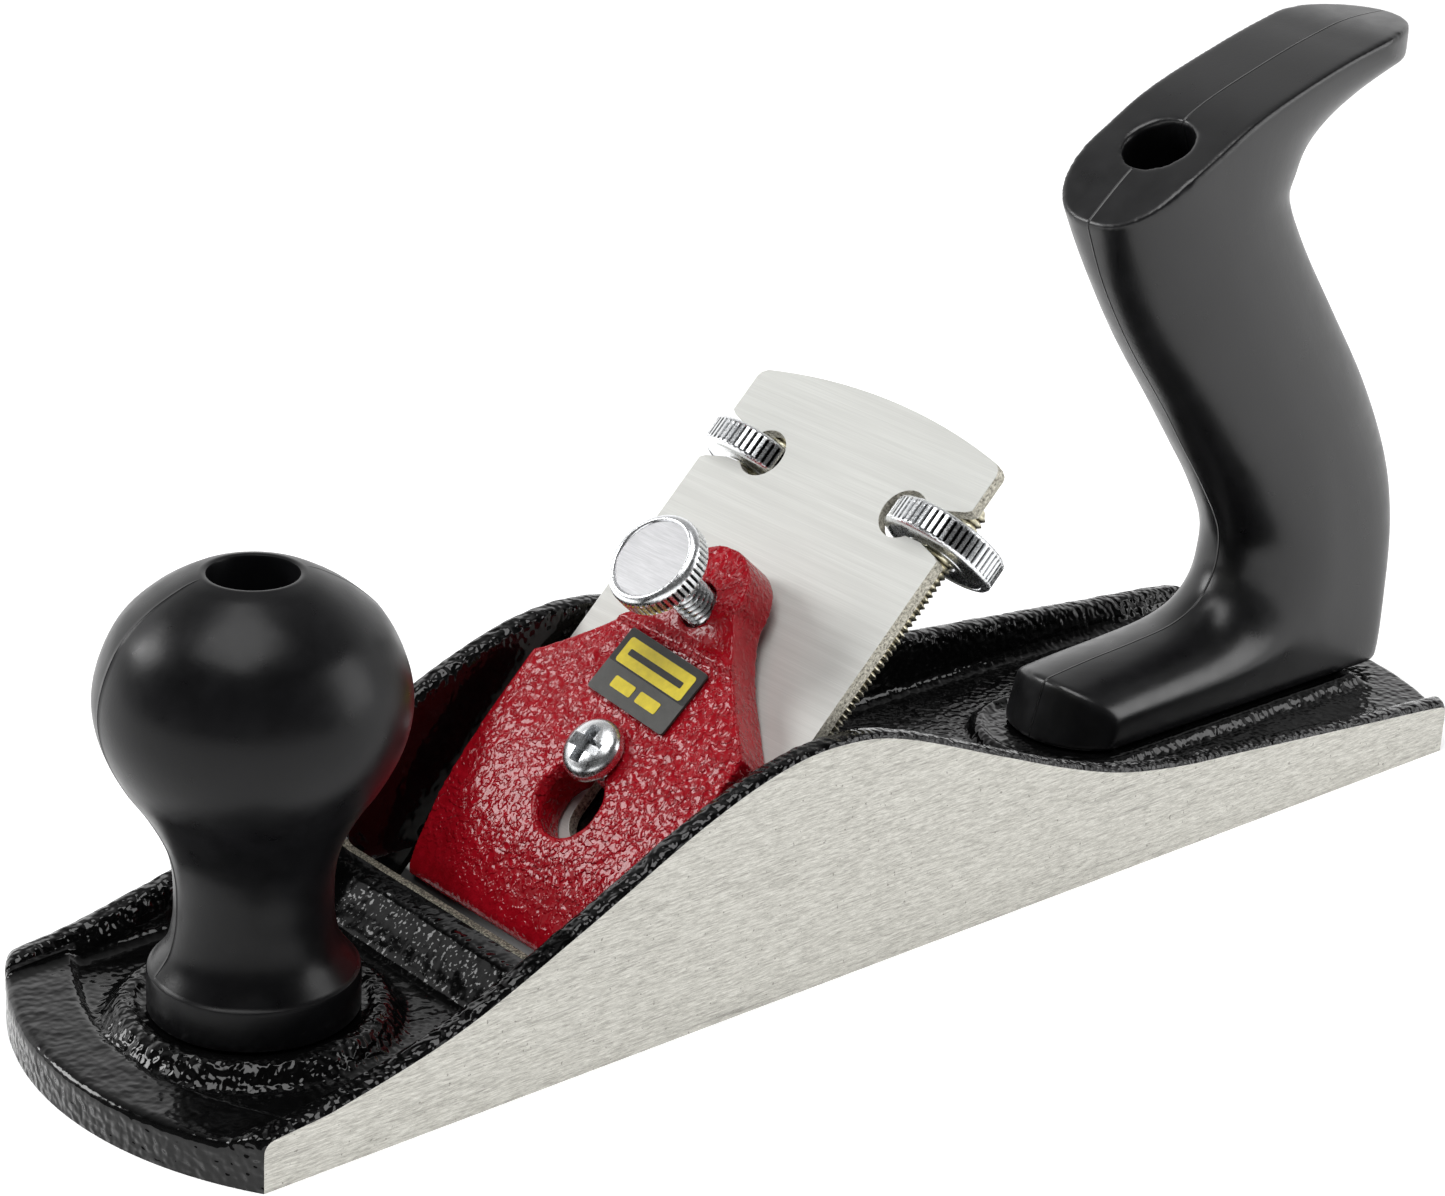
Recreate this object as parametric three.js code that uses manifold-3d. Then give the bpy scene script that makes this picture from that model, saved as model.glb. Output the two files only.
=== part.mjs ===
// Bench smoothing plane with a 50 mm iron: one cast body, a screwed-on frog, an iron set by two
// knurled nuts, a keyhole lever cap, and a moulded knob and handle.
// Millimetres. +X runs from toe to heel, +Z is up, and the sole lies in z = 0.
// The origin is the middle of the sole.

import * as THREE from 'three';
import { mergeVertices } from 'three/addons/utils/BufferGeometryUtils.js';
import Module from 'manifold-3d';

const wasm = await Module();
wasm.setup();

// ---------------------------------------------------------------- driving dimensions

const SIDE_LENGTH = 226;        // straight part of each ground cheek
const END_BULGE = 9.5;          // how far toe and heel bow out past the cheeks
const HALF_WIDTH = 30.4;        // middle to outer cheek
const WALL_INNER = 26.2;        // middle to the inner face of a wing
const TOE_FLOOR = 5;            // top of the casting's floor ahead of the throat
const HEEL_FLOOR = 6;           // top of the floor behind the throat
const NOSE_TOP = 6;             // raised border along the toe
const GAP = 0.3;                // clearance between pieces that touch

const BED_ANGLE = Math.PI / 4;  // slope of the iron
const EDGE_X = -55.4;           // where the iron's upper face meets the sole
const BED_H = -2.3;             // frog surface, measured square to the iron's upper face

const IRON = { width: 50, length: 98.2, thick: 2, arc: 105.7, bevel: 4.4, rest: 0.3 };
const SLOT = { half: 4.2, from: 21, to: 46 };
const NUT = { u: 83.5, y: 19.5, h: -5.3, radius: 8.8, thick: 4.6 };
const STUD = { radius: 3, from: 33, to: 90.3 };
const RUN = 0.3;                // radial clearance of the screws in their holes

const CAP = { toeHalf: 22.6, half: 22.9, toe: 5.2, shoulder: 41, end: 67, endRadius: 7.8, top: 6.8 };
const CAP_LABEL = { u: 44.5, y: -0.1, halfU: 5.25, halfY: 8.7, turn: -4.5, thick: 0.4 };
const THUMB_HEAD = { radius: 7.3, low: 17, high: 20.6 };
const KEYHOLE = { big: 5.3, bigAt: 24.7, slot: 3.5 };
const CAP_SCREW_AT = 32.2;
const THUMB_AT = 57.3;
const M6 = 3;                   // radius of the M6 screws
const M5 = 2.5;                 // radius of the M5 screws

const KNOB_X = -94;
const KNOB_SEAT = 7.1;
const HANDLE_SEAT = 7.3;
const PAD_TOP = 7;

const AROUND = 32;              // facets round a turned piece

// ---------------------------------------------------------------- materials

const paint = (color, roughness, metalness) => new THREE.MeshStandardMaterial({ color, roughness, metalness });
const BLACK_ENAMEL = paint(0x141414, 0.3, 0.2);
const RED_ENAMEL = paint(0xb00d17, 0.3, 0.1);
const BLACK_PLASTIC = paint(0x1d1d1f, 0.45, 0);
const GROUND_STEEL = paint(0xc9c9c4, 0.35, 1);
const ZINC = paint(0xc4c8cc, 0.25, 1);
const YELLOW_ZINC = paint(0xb9ad86, 0.35, 1);
const LABEL = paint(0xe3c51a, 0.4, 0);

// ---------------------------------------------------------------- solids

// A closed geometry as a manifold solid; triangles that collapse to a line are dropped.
function solid(geometry) {
  const bare = geometry.clone();
  bare.deleteAttribute('normal');
  bare.deleteAttribute('uv');
  const merged = mergeVertices(bare, 1e-4);
  const index = merged.index.array;
  const kept = [];
  for (let i = 0; i < index.length; i += 3) {
    const [a, b, c] = [index[i], index[i + 1], index[i + 2]];
    if (a !== b && b !== c && c !== a) kept.push(a, b, c);
  }
  return new wasm.Manifold(new wasm.Mesh({
    numProp: 3,
    vertProperties: new Float32Array(merged.attributes.position.array),
    triVerts: new Uint32Array(kept),
  }));
}

function piece(name, shape, material) {
  const result = shape.getMesh();
  const geometry = new THREE.BufferGeometry();
  geometry.setAttribute('position', new THREE.BufferAttribute(result.vertProperties, 3));
  geometry.setIndex(new THREE.BufferAttribute(result.triVerts, 1));
  geometry.computeVertexNormals();
  const mesh = new THREE.Mesh(geometry, material);
  mesh.name = name;
  return mesh;
}

const joined = (first, ...rest) => rest.reduce((sum, next) => sum.add(next), first);
const outline = (points) => new THREE.Shape(points.map(([x, y]) => new THREE.Vector2(x, y)));

// A flat outline in X and Y, raised from z = low to z = high.
function raised(shape, low, high, curveSegments = 12) {
  const geometry = new THREE.ExtrudeGeometry(shape, { depth: high - low, bevelEnabled: false, curveSegments });
  return solid(geometry.translate(0, 0, low));
}

// A side view in X and Z, drawn out from y = low to y = high.
function drawnAcross(shape, low, high, curveSegments = 12) {
  const geometry = new THREE.ExtrudeGeometry(shape, { depth: high - low, bevelEnabled: false, curveSegments });
  return solid(geometry.rotateX(Math.PI / 2).translate(0, high, 0));
}

// A profile of [radius, height] points turned about the Z axis.
function turned(profile, around = AROUND) {
  const points = profile.map(([r, z]) => new THREE.Vector2(r, z));
  return solid(new THREE.LatheGeometry(points, around).rotateX(Math.PI / 2));
}

function rod(radius, low, high, around = 16) {
  return turned([[0, low], [radius, low], [radius, high], [0, high]], around);
}

function ring(inner, outer, low, high, around = AROUND) {
  return turned([[inner, low], [outer, low], [outer, high], [inner, high], [inner, low]], around);
}

// A smooth curve through a few [x, y] points, as a list of points.
function smooth(points, steps) {
  const curve = new THREE.SplineCurve(points.map(([x, y]) => new THREE.Vector2(x, y)));
  return curve.getPoints(steps).map((p) => [p.x, p.y]);
}

// A pan-head screw on the Z axis: tip at z = tip, underside of the head at z = seat.
function panScrew(shank, tip, seat, headRadius, headHeight) {
  const body = turned([
    [0, tip], [shank, tip], [shank, seat], [headRadius, seat], [headRadius, seat + headHeight * 0.35],
    [headRadius * 0.86, seat + headHeight * 0.72], [headRadius * 0.55, seat + headHeight * 0.95],
    [0, seat + headHeight],
  ], 24);
  const depth = headHeight * 0.6;
  const bar = (x, y) => solid(new THREE.BoxGeometry(x, y, depth * 2).translate(0, 0, seat + headHeight));
  const reach = headRadius * 1.05;
  return body.subtract(bar(reach, 1.1)).subtract(bar(1.1, reach));
}

// ---------------------------------------------------------------- body casting

const END_RADIUS = (HALF_WIDTH ** 2 + END_BULGE ** 2) / (2 * END_BULGE);
const HALF_LENGTH = SIDE_LENGTH / 2 + END_BULGE;
const END_SWEEP = Math.asin(HALF_WIDTH / END_RADIUS);

// Plan of the casting: straight cheeks, and toe and heel as arcs.
function planOutline() {
  const shape = new THREE.Shape();
  shape.moveTo(-SIDE_LENGTH / 2, -HALF_WIDTH);
  shape.absarc(HALF_LENGTH - END_RADIUS, 0, END_RADIUS, -END_SWEEP, END_SWEEP, false);
  shape.absarc(END_RADIUS - HALF_LENGTH, 0, END_RADIUS, Math.PI - END_SWEEP, Math.PI + END_SWEEP, false);
  return shape;
}

// Top of the wings from toe to heel: a long rise, the hump beside the iron, a tail to the heel.
const WING_TOP = [
  [-112, 7.4], [-101, 9.2], [-83, 13.8], [-64, 21.9], [-44, 31.2], [-30, 35.8], [-19, 36.6],
  [-8, 34.4], [11, 26.8], [25, 21.2], [37, 17.3], [50, 14.9], [64, 13.5], [92, 10.7], [112, 8.6],
];

function wing(inner, outer) {
  const top = smooth(WING_TOP, 44);
  const end = SIDE_LENGTH / 2;
  const side = outline([[-end, 0], [end, 0], [end, 7], ...top.reverse(), [-end, 6]]);
  return drawnAcross(side, inner, outer);
}

const RIB = { crest: 10.5, front: -71.3, top: -64.2, back: -63.2, lip: -58.6 };
const MOUTH_HALF = 25.6;

function rib() {
  const side = outline([
    [RIB.front, 4], [RIB.lip, 4], [RIB.lip - 2.2, TOE_FLOOR], [RIB.back, RIB.crest],
    [RIB.top, RIB.crest], [-66.6, 9.4], [RIB.front, TOE_FLOOR + 0.4],
  ]);
  return drawnAcross(side, -WALL_INNER - 1, WALL_INNER + 1);
}

// The throat: straight down ahead of the iron, and along the bed behind it.
function mouth() {
  const back = EDGE_X - BED_H * Math.SQRT2 + GAP;
  const side = outline([
    [RIB.lip, -1], [back - 1, -1], [back + HEEL_FLOOR + 1, HEEL_FLOOR + 1], [RIB.lip - 2.6, HEEL_FLOOR + 1],
    [RIB.lip, 0],
  ]);
  return drawnAcross(side, -MOUTH_HALF, MOUTH_HALF);
}

// The pad under the handle: parallel sides and a round front.
const PAD = { half: 13.6, front: 45.2, back: 112 };

function padOutline() {
  const shape = new THREE.Shape();
  shape.moveTo(PAD.back, -PAD.half);
  shape.lineTo(PAD.back, PAD.half);
  shape.absarc(PAD.front + PAD.half, 0, PAD.half, Math.PI / 2, Math.PI * 1.5, false);
  return shape;
}

// The ring round the knob's foot, and the curved inner edge of the border along the toe.
const BOSS = { foot: 20, outer: 17.6, inner: 15.6, recess: 15, top: 7.8 };
const BORDER = { radius: END_RADIUS - 15.5, centre: END_RADIUS - HALF_LENGTH + 3 };

const FROG_SCREWS = [[-2, 10.5], [-2, -10.5]];
const HANDLE_BOLT = { top: [65.8, 99.8], foot: [105, HANDLE_SEAT] };
const HANDLE_TILT = Math.atan2(
  HANDLE_BOLT.foot[0] - HANDLE_BOLT.top[0], HANDLE_BOLT.top[1] - HANDLE_BOLT.foot[1],
);

// A solid on the Z axis moved onto the sloping bolt line, its z = 0 at the handle's seat.
function onHandleBolt(shape) {
  const [x, z] = HANDLE_BOLT.foot;
  return shape.rotate([0, -THREE.MathUtils.radToDeg(HANDLE_TILT), 0]).translate([x, 0, z]);
}

function bodyCasting() {
  const plan = planOutline();
  const half = (low, high, top) => raised(plan, 0, top, 16)
    .intersect(solid(new THREE.BoxGeometry(high - low, 80, 40).translate((low + high) / 2, 0, 0)));
  const throatX = RIB.lip;
  const floor = joined(half(-130, throatX, TOE_FLOOR), half(throatX, 130, HEEL_FLOOR));
  const border = raised(plan, 0, NOSE_TOP, 16)
    .subtract(rod(BORDER.radius, -1, NOSE_TOP + 3, 64).translate([BORDER.centre, 0, 0]))
    .intersect(solid(new THREE.BoxGeometry(20, 80, 40).translate(-SIDE_LENGTH / 2 - 4, 0, 0)));
  const { foot, outer, inner, recess, top } = BOSS;
  const boss = turned([
    [0, 1], [foot, 1], [foot, TOE_FLOOR], [outer + 0.7, top - 0.4], [outer, top], [inner, top],
    [recess, top - 0.4], [0, top - 0.4],
  ]).translate([KNOB_X, 0, 0])
    .subtract(rod(recess, KNOB_SEAT - GAP, top + 1, AROUND).translate([KNOB_X, 0, 0]));
  const cheeks = joined(wing(WALL_INNER, HALF_WIDTH), wing(-HALF_WIDTH, -WALL_INNER));
  const pad = raised(padOutline(), 1, PAD_TOP, 8);
  const frogHole = rod(M5 + RUN, 1.2, HEEL_FLOOR + 1);
  return joined(floor, border, boss, cheeks, pad, rib())
    .subtract(mouth())
    .subtract(rod(M6 + RUN, 1.3, 9).translate([KNOB_X, 0, 0]))
    .subtract(onHandleBolt(rod(M6 + RUN, -5.6, 4)))
    .subtract(joined(...FROG_SCREWS.map(([x, y]) => frogHole.translate([x, y, 0]))));
}

// ---------------------------------------------------------------- frog

// The frog is drawn in the side view: bed plate, foot, and three webs between them.
const FROG = { foot: HEEL_FLOOR + GAP, footTop: 11.8, heel: 7, reach: 47, plate: 8.4, half: 25.7, web: 4 };

// A point given along the iron (u) and square to it (h), in the side view.
function bedPoint(u, h) {
  const [c, s] = [Math.cos(BED_ANGLE), Math.sin(BED_ANGLE)];
  return [EDGE_X + u * c - h * s, u * s + h * c];
}

function frog() {
  const under = BED_H - FROG.plate;
  const onFoot = (h, z) => bedPoint((z - h * Math.cos(BED_ANGLE)) / Math.sin(BED_ANGLE), h);
  const plate = outline([
    onFoot(BED_H, FROG.foot), onFoot(under, FROG.foot), bedPoint(FROG.reach, under), bedPoint(FROG.reach, BED_H),
  ]);
  const foot = outline([
    onFoot(BED_H, FROG.foot), [FROG.heel, FROG.foot], [FROG.heel, FROG.footTop], onFoot(BED_H, FROG.footTop),
  ]);
  const webSide = outline([
    onFoot(under + 2, FROG.footTop - 2), [FROG.heel - 4, FROG.footTop - 2], [FROG.heel - 4, FROG.footTop],
    bedPoint(FROG.reach - 3, under), bedPoint(FROG.reach - 3, under + 2),
  ]);
  const webs = [-FROG.half + FROG.web, FROG.web / 2, FROG.half]
    .map((y) => drawnAcross(webSide, y - FROG.web, y));
  const solidFrog = joined(
    drawnAcross(plate, -FROG.half, FROG.half), drawnAcross(foot, -FROG.half, FROG.half), ...webs,
  );
  const holes = [
    ...FROG_SCREWS.map(([x, y]) => rod(M5 + RUN, 4, 14).translate([x, y, 0])),
    ...[NUT.y, -NUT.y].map((y) => onBed(alongBed(rod(STUD.radius + RUN, STUD.from - 1, 60), y, NUT.h))),
    onBed(rod(M6 + RUN, -16, 2).translate([CAP_SCREW_AT, 0, 0])),
  ];
  return solidFrog.subtract(joined(...holes));
}

// ---------------------------------------------------------------- pieces on the sloping bed
// In bed coordinates x runs up the iron from its edge, z stands square to its upper face.

const BED_DEGREES = THREE.MathUtils.radToDeg(BED_ANGLE);
const onBed = (shape) => shape.rotate([0, -BED_DEGREES, 0]).translate([EDGE_X, 0, 0]);
const alongBed = (shape, y, h) => shape.rotate([0, 90, 0]).translate([0, y, h]);

function iron() {
  const half = IRON.width / 2;
  const top = IRON.length;
  const sweep = Math.asin((half - 0.8) / IRON.arc);
  const shape = new THREE.Shape();
  shape.moveTo(IRON.rest, -half);
  shape.lineTo(top - 4, -half);
  shape.absarc(top - IRON.arc, 0, IRON.arc, -sweep, sweep, false);
  shape.lineTo(top - 4, half);
  shape.lineTo(IRON.rest, half);
  const slot = new THREE.Path();
  slot.absarc(SLOT.from + SLOT.half, 0, SLOT.half, Math.PI / 2, Math.PI * 1.5, false);
  slot.absarc(SLOT.to - SLOT.half, 0, SLOT.half, -Math.PI / 2, Math.PI / 2, false);
  shape.holes.push(slot);
  const bevel = outline([
    [IRON.rest - 0.1, 0.05], [IRON.rest + IRON.bevel, -IRON.thick - 0.05], [IRON.rest - 1, -IRON.thick - 1],
    [IRON.rest - 1, 0.05],
  ]);
  const notches = [1, -1].map((side) => raised(nutNotch(side), -IRON.thick - 1, 1, 8));
  return raised(shape, -IRON.thick, 0, 12)
    .subtract(drawnAcross(bevel, -half - 1, half + 1))
    .subtract(notches[0])
    .subtract(notches[1]);
}

// A notch in the iron's edge: a round end, a neck a little wider than the nut, flaring jaws.
function nutNotch(side) {
  const [neck, round, edge] = [2.7, 3.8, IRON.width / 2 + 1];
  const centre = NUT.y - NUT.radius + round + 0.2;
  const start = Math.asin(neck / round);
  const shape = new THREE.Shape();
  const at = (u, y) => [NUT.u + u, side * y];
  shape.moveTo(...at(-neck - 1.6, edge));
  shape.lineTo(...at(-neck, edge - 4.6));
  for (let i = 0; i <= 10; i += 1) {
    const angle = start + (2 * Math.PI - 2 * start) * (i / 10);
    shape.lineTo(...at(-round * Math.sin(angle), centre + round * Math.cos(angle)));
  }
  shape.lineTo(...at(neck, edge - 4.6));
  shape.lineTo(...at(neck + 1.6, edge));
  return shape;
}

// Plan of the cap from above: a wide toe, shoulders, and a waist up to the boss at the screw.
function capPlan() {
  const flank = smooth([[CAP.shoulder + 1, CAP.half - 0.6], [45.8, 18], [51, 13.1], [56, 10.1], [61, 8.3]], 10);
  const shape = new THREE.Shape();
  shape.moveTo(CAP.toe, CAP.toeHalf);
  shape.lineTo(CAP.toe, -CAP.toeHalf);
  shape.lineTo(CAP.shoulder, -CAP.half);
  flank.forEach(([u, y]) => shape.lineTo(u, -y));
  shape.absarc(CAP.end - CAP.endRadius, 0, CAP.endRadius, -Math.PI / 2, Math.PI / 2, false);
  flank.reverse().forEach(([u, y]) => shape.lineTo(u, y));
  shape.lineTo(CAP.shoulder, CAP.half);
  const keyhole = new THREE.Path();
  const meet = Math.asin(KEYHOLE.slot / KEYHOLE.big);
  keyhole.absarc(KEYHOLE.bigAt, 0, KEYHOLE.big, meet, 2 * Math.PI - meet, false);
  keyhole.absarc(CAP_SCREW_AT, 0, KEYHOLE.slot, -Math.PI / 2, Math.PI / 2, false);
  shape.holes.push(keyhole);
  const thumbHole = new THREE.Path();
  thumbHole.absarc(THUMB_AT, 0, M6 + RUN, 0, 2 * Math.PI, false);
  shape.holes.push(thumbHole);
  return shape;
}

function leverCap() {
  const top = [[CAP.toe, 1.3], ...smooth([[6.4, 2.5], [10, 3.9], [17, 5.7], [24, 6.5], [30, CAP.top]], 8)];
  const side = outline([
    [CAP.toe, GAP], [46, GAP], [60, 2.2], [CAP.end, 2.2], [CAP.end, 7.8], [66.2, 8.5], [58.4, 8.5], [56.2, 7.6],
    [54, 7.2], [50.2, CAP.top], ...top.reverse(),
  ]);
  return drawnAcross(side, -CAP.half - 1, CAP.half + 1).intersect(raised(capPlan(), 0, 12, 10));
}

function capLabel() {
  const { u, y, halfU, halfY, turn, thick } = CAP_LABEL;
  const plate = outline([[-halfU, -halfY], [halfU, -halfY], [halfU, halfY], [-halfU, halfY]]);
  return raised(plate, 0, thick).rotate([0, 0, turn]).translate([u, y, CAP.top + GAP]);
}

function thumbScrew() {
  const { radius, low, high } = THUMB_HEAD;
  return turned([
    [0, GAP], [M6, GAP], [M6, low], [radius - 0.7, low], [radius, low + 0.6], [radius, high - 1.2],
    [radius - 0.8, high], [radius - 1.9, high], [radius - 2.15, high - 0.5], [0, high - 0.5],
  ]);
}

function adjusterNut() {
  const [r, t] = [NUT.radius, NUT.thick / 2];
  return turned([
    [M6 + RUN, -t], [r - 0.7, -t], [r, -t + 0.7], [r, t - 0.7], [r - 0.7, t], [M6 + RUN, t], [M6 + RUN, -t],
  ]);
}

const stud = () => turned([
  [0, STUD.from], [STUD.radius, STUD.from], [STUD.radius, STUD.to - 0.8], [STUD.radius - 0.8, STUD.to], [0, STUD.to],
], 16);

// ---------------------------------------------------------------- knob

const KNOB_BORE = { radius: 5.8, floor: 45 };

function knob() {
  const ball = smooth([
    [13.4, 13], [11.4, 16], [10.5, 19.5], [10.3, 23], [10.5, 27], [11.5, 31], [13.8, 35.5], [16.8, 40],
    [19.2, 45], [20.15, 50], [19.4, 55], [17, 60.2], [13.2, 64], [9, 66.6], [6.6, 67.5],
  ], 26);
  return turned([
    [0, KNOB_SEAT], [13.9, KNOB_SEAT], [13.9, 12.6], ...ball, [KNOB_BORE.radius, 67.2],
    [KNOB_BORE.radius, KNOB_BORE.floor], [0, KNOB_BORE.floor],
  ]).subtract(rod(M6 + RUN, KNOB_SEAT - 1, KNOB_BORE.floor + 1));
}

// ---------------------------------------------------------------- handle

// Sections across the handle, from its toe to the tip of the horn. Each one runs from a point on
// the front or top of the handle to a point on its back or underside, and is `half` wide each way.
// The numbers after that say how square it is at the front and at the back: 2 is an ellipse.
const HANDLE_SECTIONS = [
  { front: [44, 16], back: [44, 5.5], half: 10.9, square: [2, 9] },
  { front: [60, 17.6], back: [60, 5.5], half: 10.9, square: [2, 9] },
  { front: [70.8, 18.3], back: [74, 5.5], half: 10.9, square: [2, 9] },
  { front: [79.5, 19.2], back: [90, 5.5], half: 10.9, square: [2, 9] },
  { front: [84.8, 21.3], back: [103, 5.5], half: 10.9, square: [2, 9] },
  { front: [88, 25], back: [114, 5.5], half: 11, square: [2.1, 9] },
  { front: [89.2, 29.5], back: [120.4, 6], half: 11.1, square: [2.2, 8] },
  { front: [88.3, 34.6], back: [122.1, 18], half: 11.2, square: [2, 6] },
  { front: [83.6, 42.1], back: [122.4, 31], half: 11.3, square: [2, 4.6] },
  { front: [78.1, 49.5], back: [120.3, 44.9], half: 11.5, square: [2.1, 2.8] },
  { front: [72.5, 57.2], back: [114.1, 57.1], half: 11.5, square: [2.2, 2.4] },
  { front: [63.6, 68.5], back: [105.4, 69.3], half: 11.5, square: [2.1, 2.3] },
  { front: [56.6, 79.3], back: [97.1, 80.5], half: 11.5, square: [2.1, 2.3] },
  { front: [52.1, 89], back: [92, 89.2], half: 11.5, square: [2.5, 2.3] },
  { front: [47.6, 100], back: [92.8, 92.6], half: 11.5, square: [2.8, 2.4] },
  { front: [48, 113], back: [94.6, 96.4], half: 11.5, square: [2.6, 2.5] },
  { front: [63, 123], back: [97.5, 99.8], half: 11.5, square: [2.4, 2.7] },
  { front: [83, 127], back: [101.7, 103.1], half: 11.5, square: [2.2, 3] },
  { front: [100, 125], back: [107.2, 106.4], half: 11.5, square: [2.2, 3.4] },
  { front: [114, 123], back: [114, 109.6], half: 11.5, square: [2.2, 3.8] },
  { front: [124, 122], back: [124, 114], half: 11.5, square: [2.2, 4] },
];
const HANDLE_TOP = [
  [51.8, 89.6], [59.5, 96], [66, 99.9], [75, 104.6], [87, 108.8], [98, 112], [108, 113.9], [125, 114],
];
const HANDLE_TOE = { front: 48.7, lean: 0.3, round: 10.8, half: 11.6 };
const HORN_TIP = { end: 115.8, round: 15.8, half: 11.6 };
const HANDLE_BORE = { radius: 5.5, depth: 26 };

// One section as a closed ring of points, front half and back half each a superellipse.
function sectionRing({ front, back, half, square }, count) {
  const points = [];
  const centre = [(front[0] + back[0]) / 2, (front[1] + back[1]) / 2];
  const reach = [(back[0] - front[0]) / 2, (back[1] - front[1]) / 2];
  for (let i = 0; i < count; i += 1) {
    const angle = (2 * Math.PI * i) / count;
    const [c, s] = [Math.cos(angle), Math.sin(angle)];
    const power = 2 / (c < 0 ? square[0] : square[1]);
    const along = Math.sign(c) * Math.abs(c) ** power;
    const across = Math.sign(s) * Math.abs(s) ** power;
    points.push(centre[0] + reach[0] * along, half * across, centre[1] + reach[1] * along);
  }
  return points;
}

// Rings of equal length joined into one closed skin, with a flat fan over each end.
function lofted(rings, count) {
  const position = rings.flat();
  const index = [];
  for (let ringNo = 0; ringNo + 1 < rings.length; ringNo += 1) {
    for (let i = 0; i < count; i += 1) {
      const [a, b] = [ringNo * count + i, ringNo * count + ((i + 1) % count)];
      index.push(a, b, a + count, b, b + count, a + count);
    }
  }
  const last = (rings.length - 1) * count;
  for (let i = 1; i + 1 < count; i += 1) {
    index.push(0, i + 1, i);
    index.push(last, last + i, last + i + 1);
  }
  const geometry = new THREE.BufferGeometry();
  geometry.setAttribute('position', new THREE.Float32BufferAttribute(position, 3));
  geometry.setIndex(index);
  return solid(geometry);
}

// A ring of points at height z: square at one end, and at the other a half ellipse that comes
// to `end` on the centre line. `way` is +1 where the round end faces +X.
function roundEndRing(z, end, round, half, way, count) {
  const points = [];
  for (let i = 0; i < count; i += 1) {
    const angle = -Math.PI / 2 + (Math.PI * i) / (count - 1);
    points.push(end + way * round * (Math.cos(angle) - 1), way * half * Math.sin(angle), z);
  }
  const far = end - way * (round + 30);
  points.push(far, way * half, z, far, -way * half, z);
  return points;
}

// What lies outside the rounded toe of the foot, whose face leans back as it rises.
function toeWaste() {
  const { front, lean, round, half } = HANDLE_TOE;
  const [low, high, count] = [4, 20, 16];
  const rings = [low, high].map((z) => {
    const end = front + lean * (z - HANDLE_SEAT);
    return roundEndRing(z, end, round, half, -1, count);
  });
  return solid(new THREE.BoxGeometry(20, 40, 14).translate(front - 2, 0, low + 8)).subtract(lofted(rings, count + 2));
}

// What lies outside the rounded tip of the horn.
function hornWaste() {
  const { end, round, half } = HORN_TIP;
  const count = 16;
  const rings = [90, 130].map((z) => roundEndRing(z, end, round, half, 1, count));
  return solid(new THREE.BoxGeometry(30, 40, 30).translate(end, 0, 112)).subtract(lofted(rings, count + 2));
}

function handle() {
  const count = 24;
  const skin = lofted(HANDLE_SECTIONS.map((section) => sectionRing(section, count)), count);
  const keep = outline([
    [42, HANDLE_SEAT], [125, HANDLE_SEAT], [125, 112], ...smooth(HANDLE_TOP, 18).reverse(), [42, 81],
  ]);
  const length = Math.hypot(HANDLE_BOLT.foot[0] - HANDLE_BOLT.top[0], HANDLE_BOLT.foot[1] - HANDLE_BOLT.top[1]);
  return skin.intersect(drawnAcross(keep, -20, 20))
    .subtract(toeWaste())
    .subtract(hornWaste())
    .subtract(onHandleBolt(rod(HANDLE_BORE.radius, length - HANDLE_BORE.depth, length + 12, 24)))
    .subtract(onHandleBolt(rod(M6 + RUN, -6, length)));
}

// ---------------------------------------------------------------- assembly

const plane = new THREE.Group();
const add = (...args) => plane.add(piece(...args));

add('body_casting', bodyCasting(), BLACK_ENAMEL);
add('frog', frog(), BLACK_ENAMEL);
FROG_SCREWS.forEach(([x, y]) => {
  const side = y > 0 ? 'left' : 'right';
  const seat = FROG.footTop + GAP;
  add(`frog_washer_${side}`, ring(M5 + RUN, 5, seat, seat + 1, 20).translate([x, y, 0]), ZINC);
  add(`frog_screw_${side}`, panScrew(M5, 1.6, seat + 1 + GAP, 4.6, 2.8).translate([x, y, 0]), ZINC);
});

const bed = new THREE.Group();
bed.position.set(EDGE_X, 0, 0);
bed.rotation.y = -BED_ANGLE;
plane.add(bed);
bed.add(piece('blade', iron(), GROUND_STEEL));
bed.add(piece('lever_cap', leverCap(), RED_ENAMEL));
bed.add(piece('cap_label', capLabel(), LABEL));
const capScrew = panScrew(M6, -10.2, CAP.top + GAP, 4.7, 3.2).translate([CAP_SCREW_AT, 0, 0]);
bed.add(piece('lever_cap_screw', capScrew, ZINC));
bed.add(piece('cap_thumbscrew', thumbScrew().translate([THUMB_AT, 0, 0]), ZINC));
[['left', NUT.y], ['right', -NUT.y]].forEach(([side, y]) => {
  bed.add(piece(`adjuster_stud_${side}`, alongBed(stud(), y, NUT.h), YELLOW_ZINC));
  bed.add(piece(`adjuster_nut_${side}`, alongBed(adjusterNut(), y, NUT.h).translate([NUT.u, 0, 0]), ZINC));
});

add('knob', knob().translate([KNOB_X, 0, 0]), BLACK_PLASTIC);
const knobWasher = KNOB_BORE.floor + GAP;
add('knob_washer', ring(M6 + RUN, 5.4, knobWasher, knobWasher + 1.2, 20).translate([KNOB_X, 0, 0]), ZINC);
add('knob_screw', panScrew(M6, 1.7, knobWasher + 1.2 + GAP, 5, 3.4).translate([KNOB_X, 0, 0]), ZINC);

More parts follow.
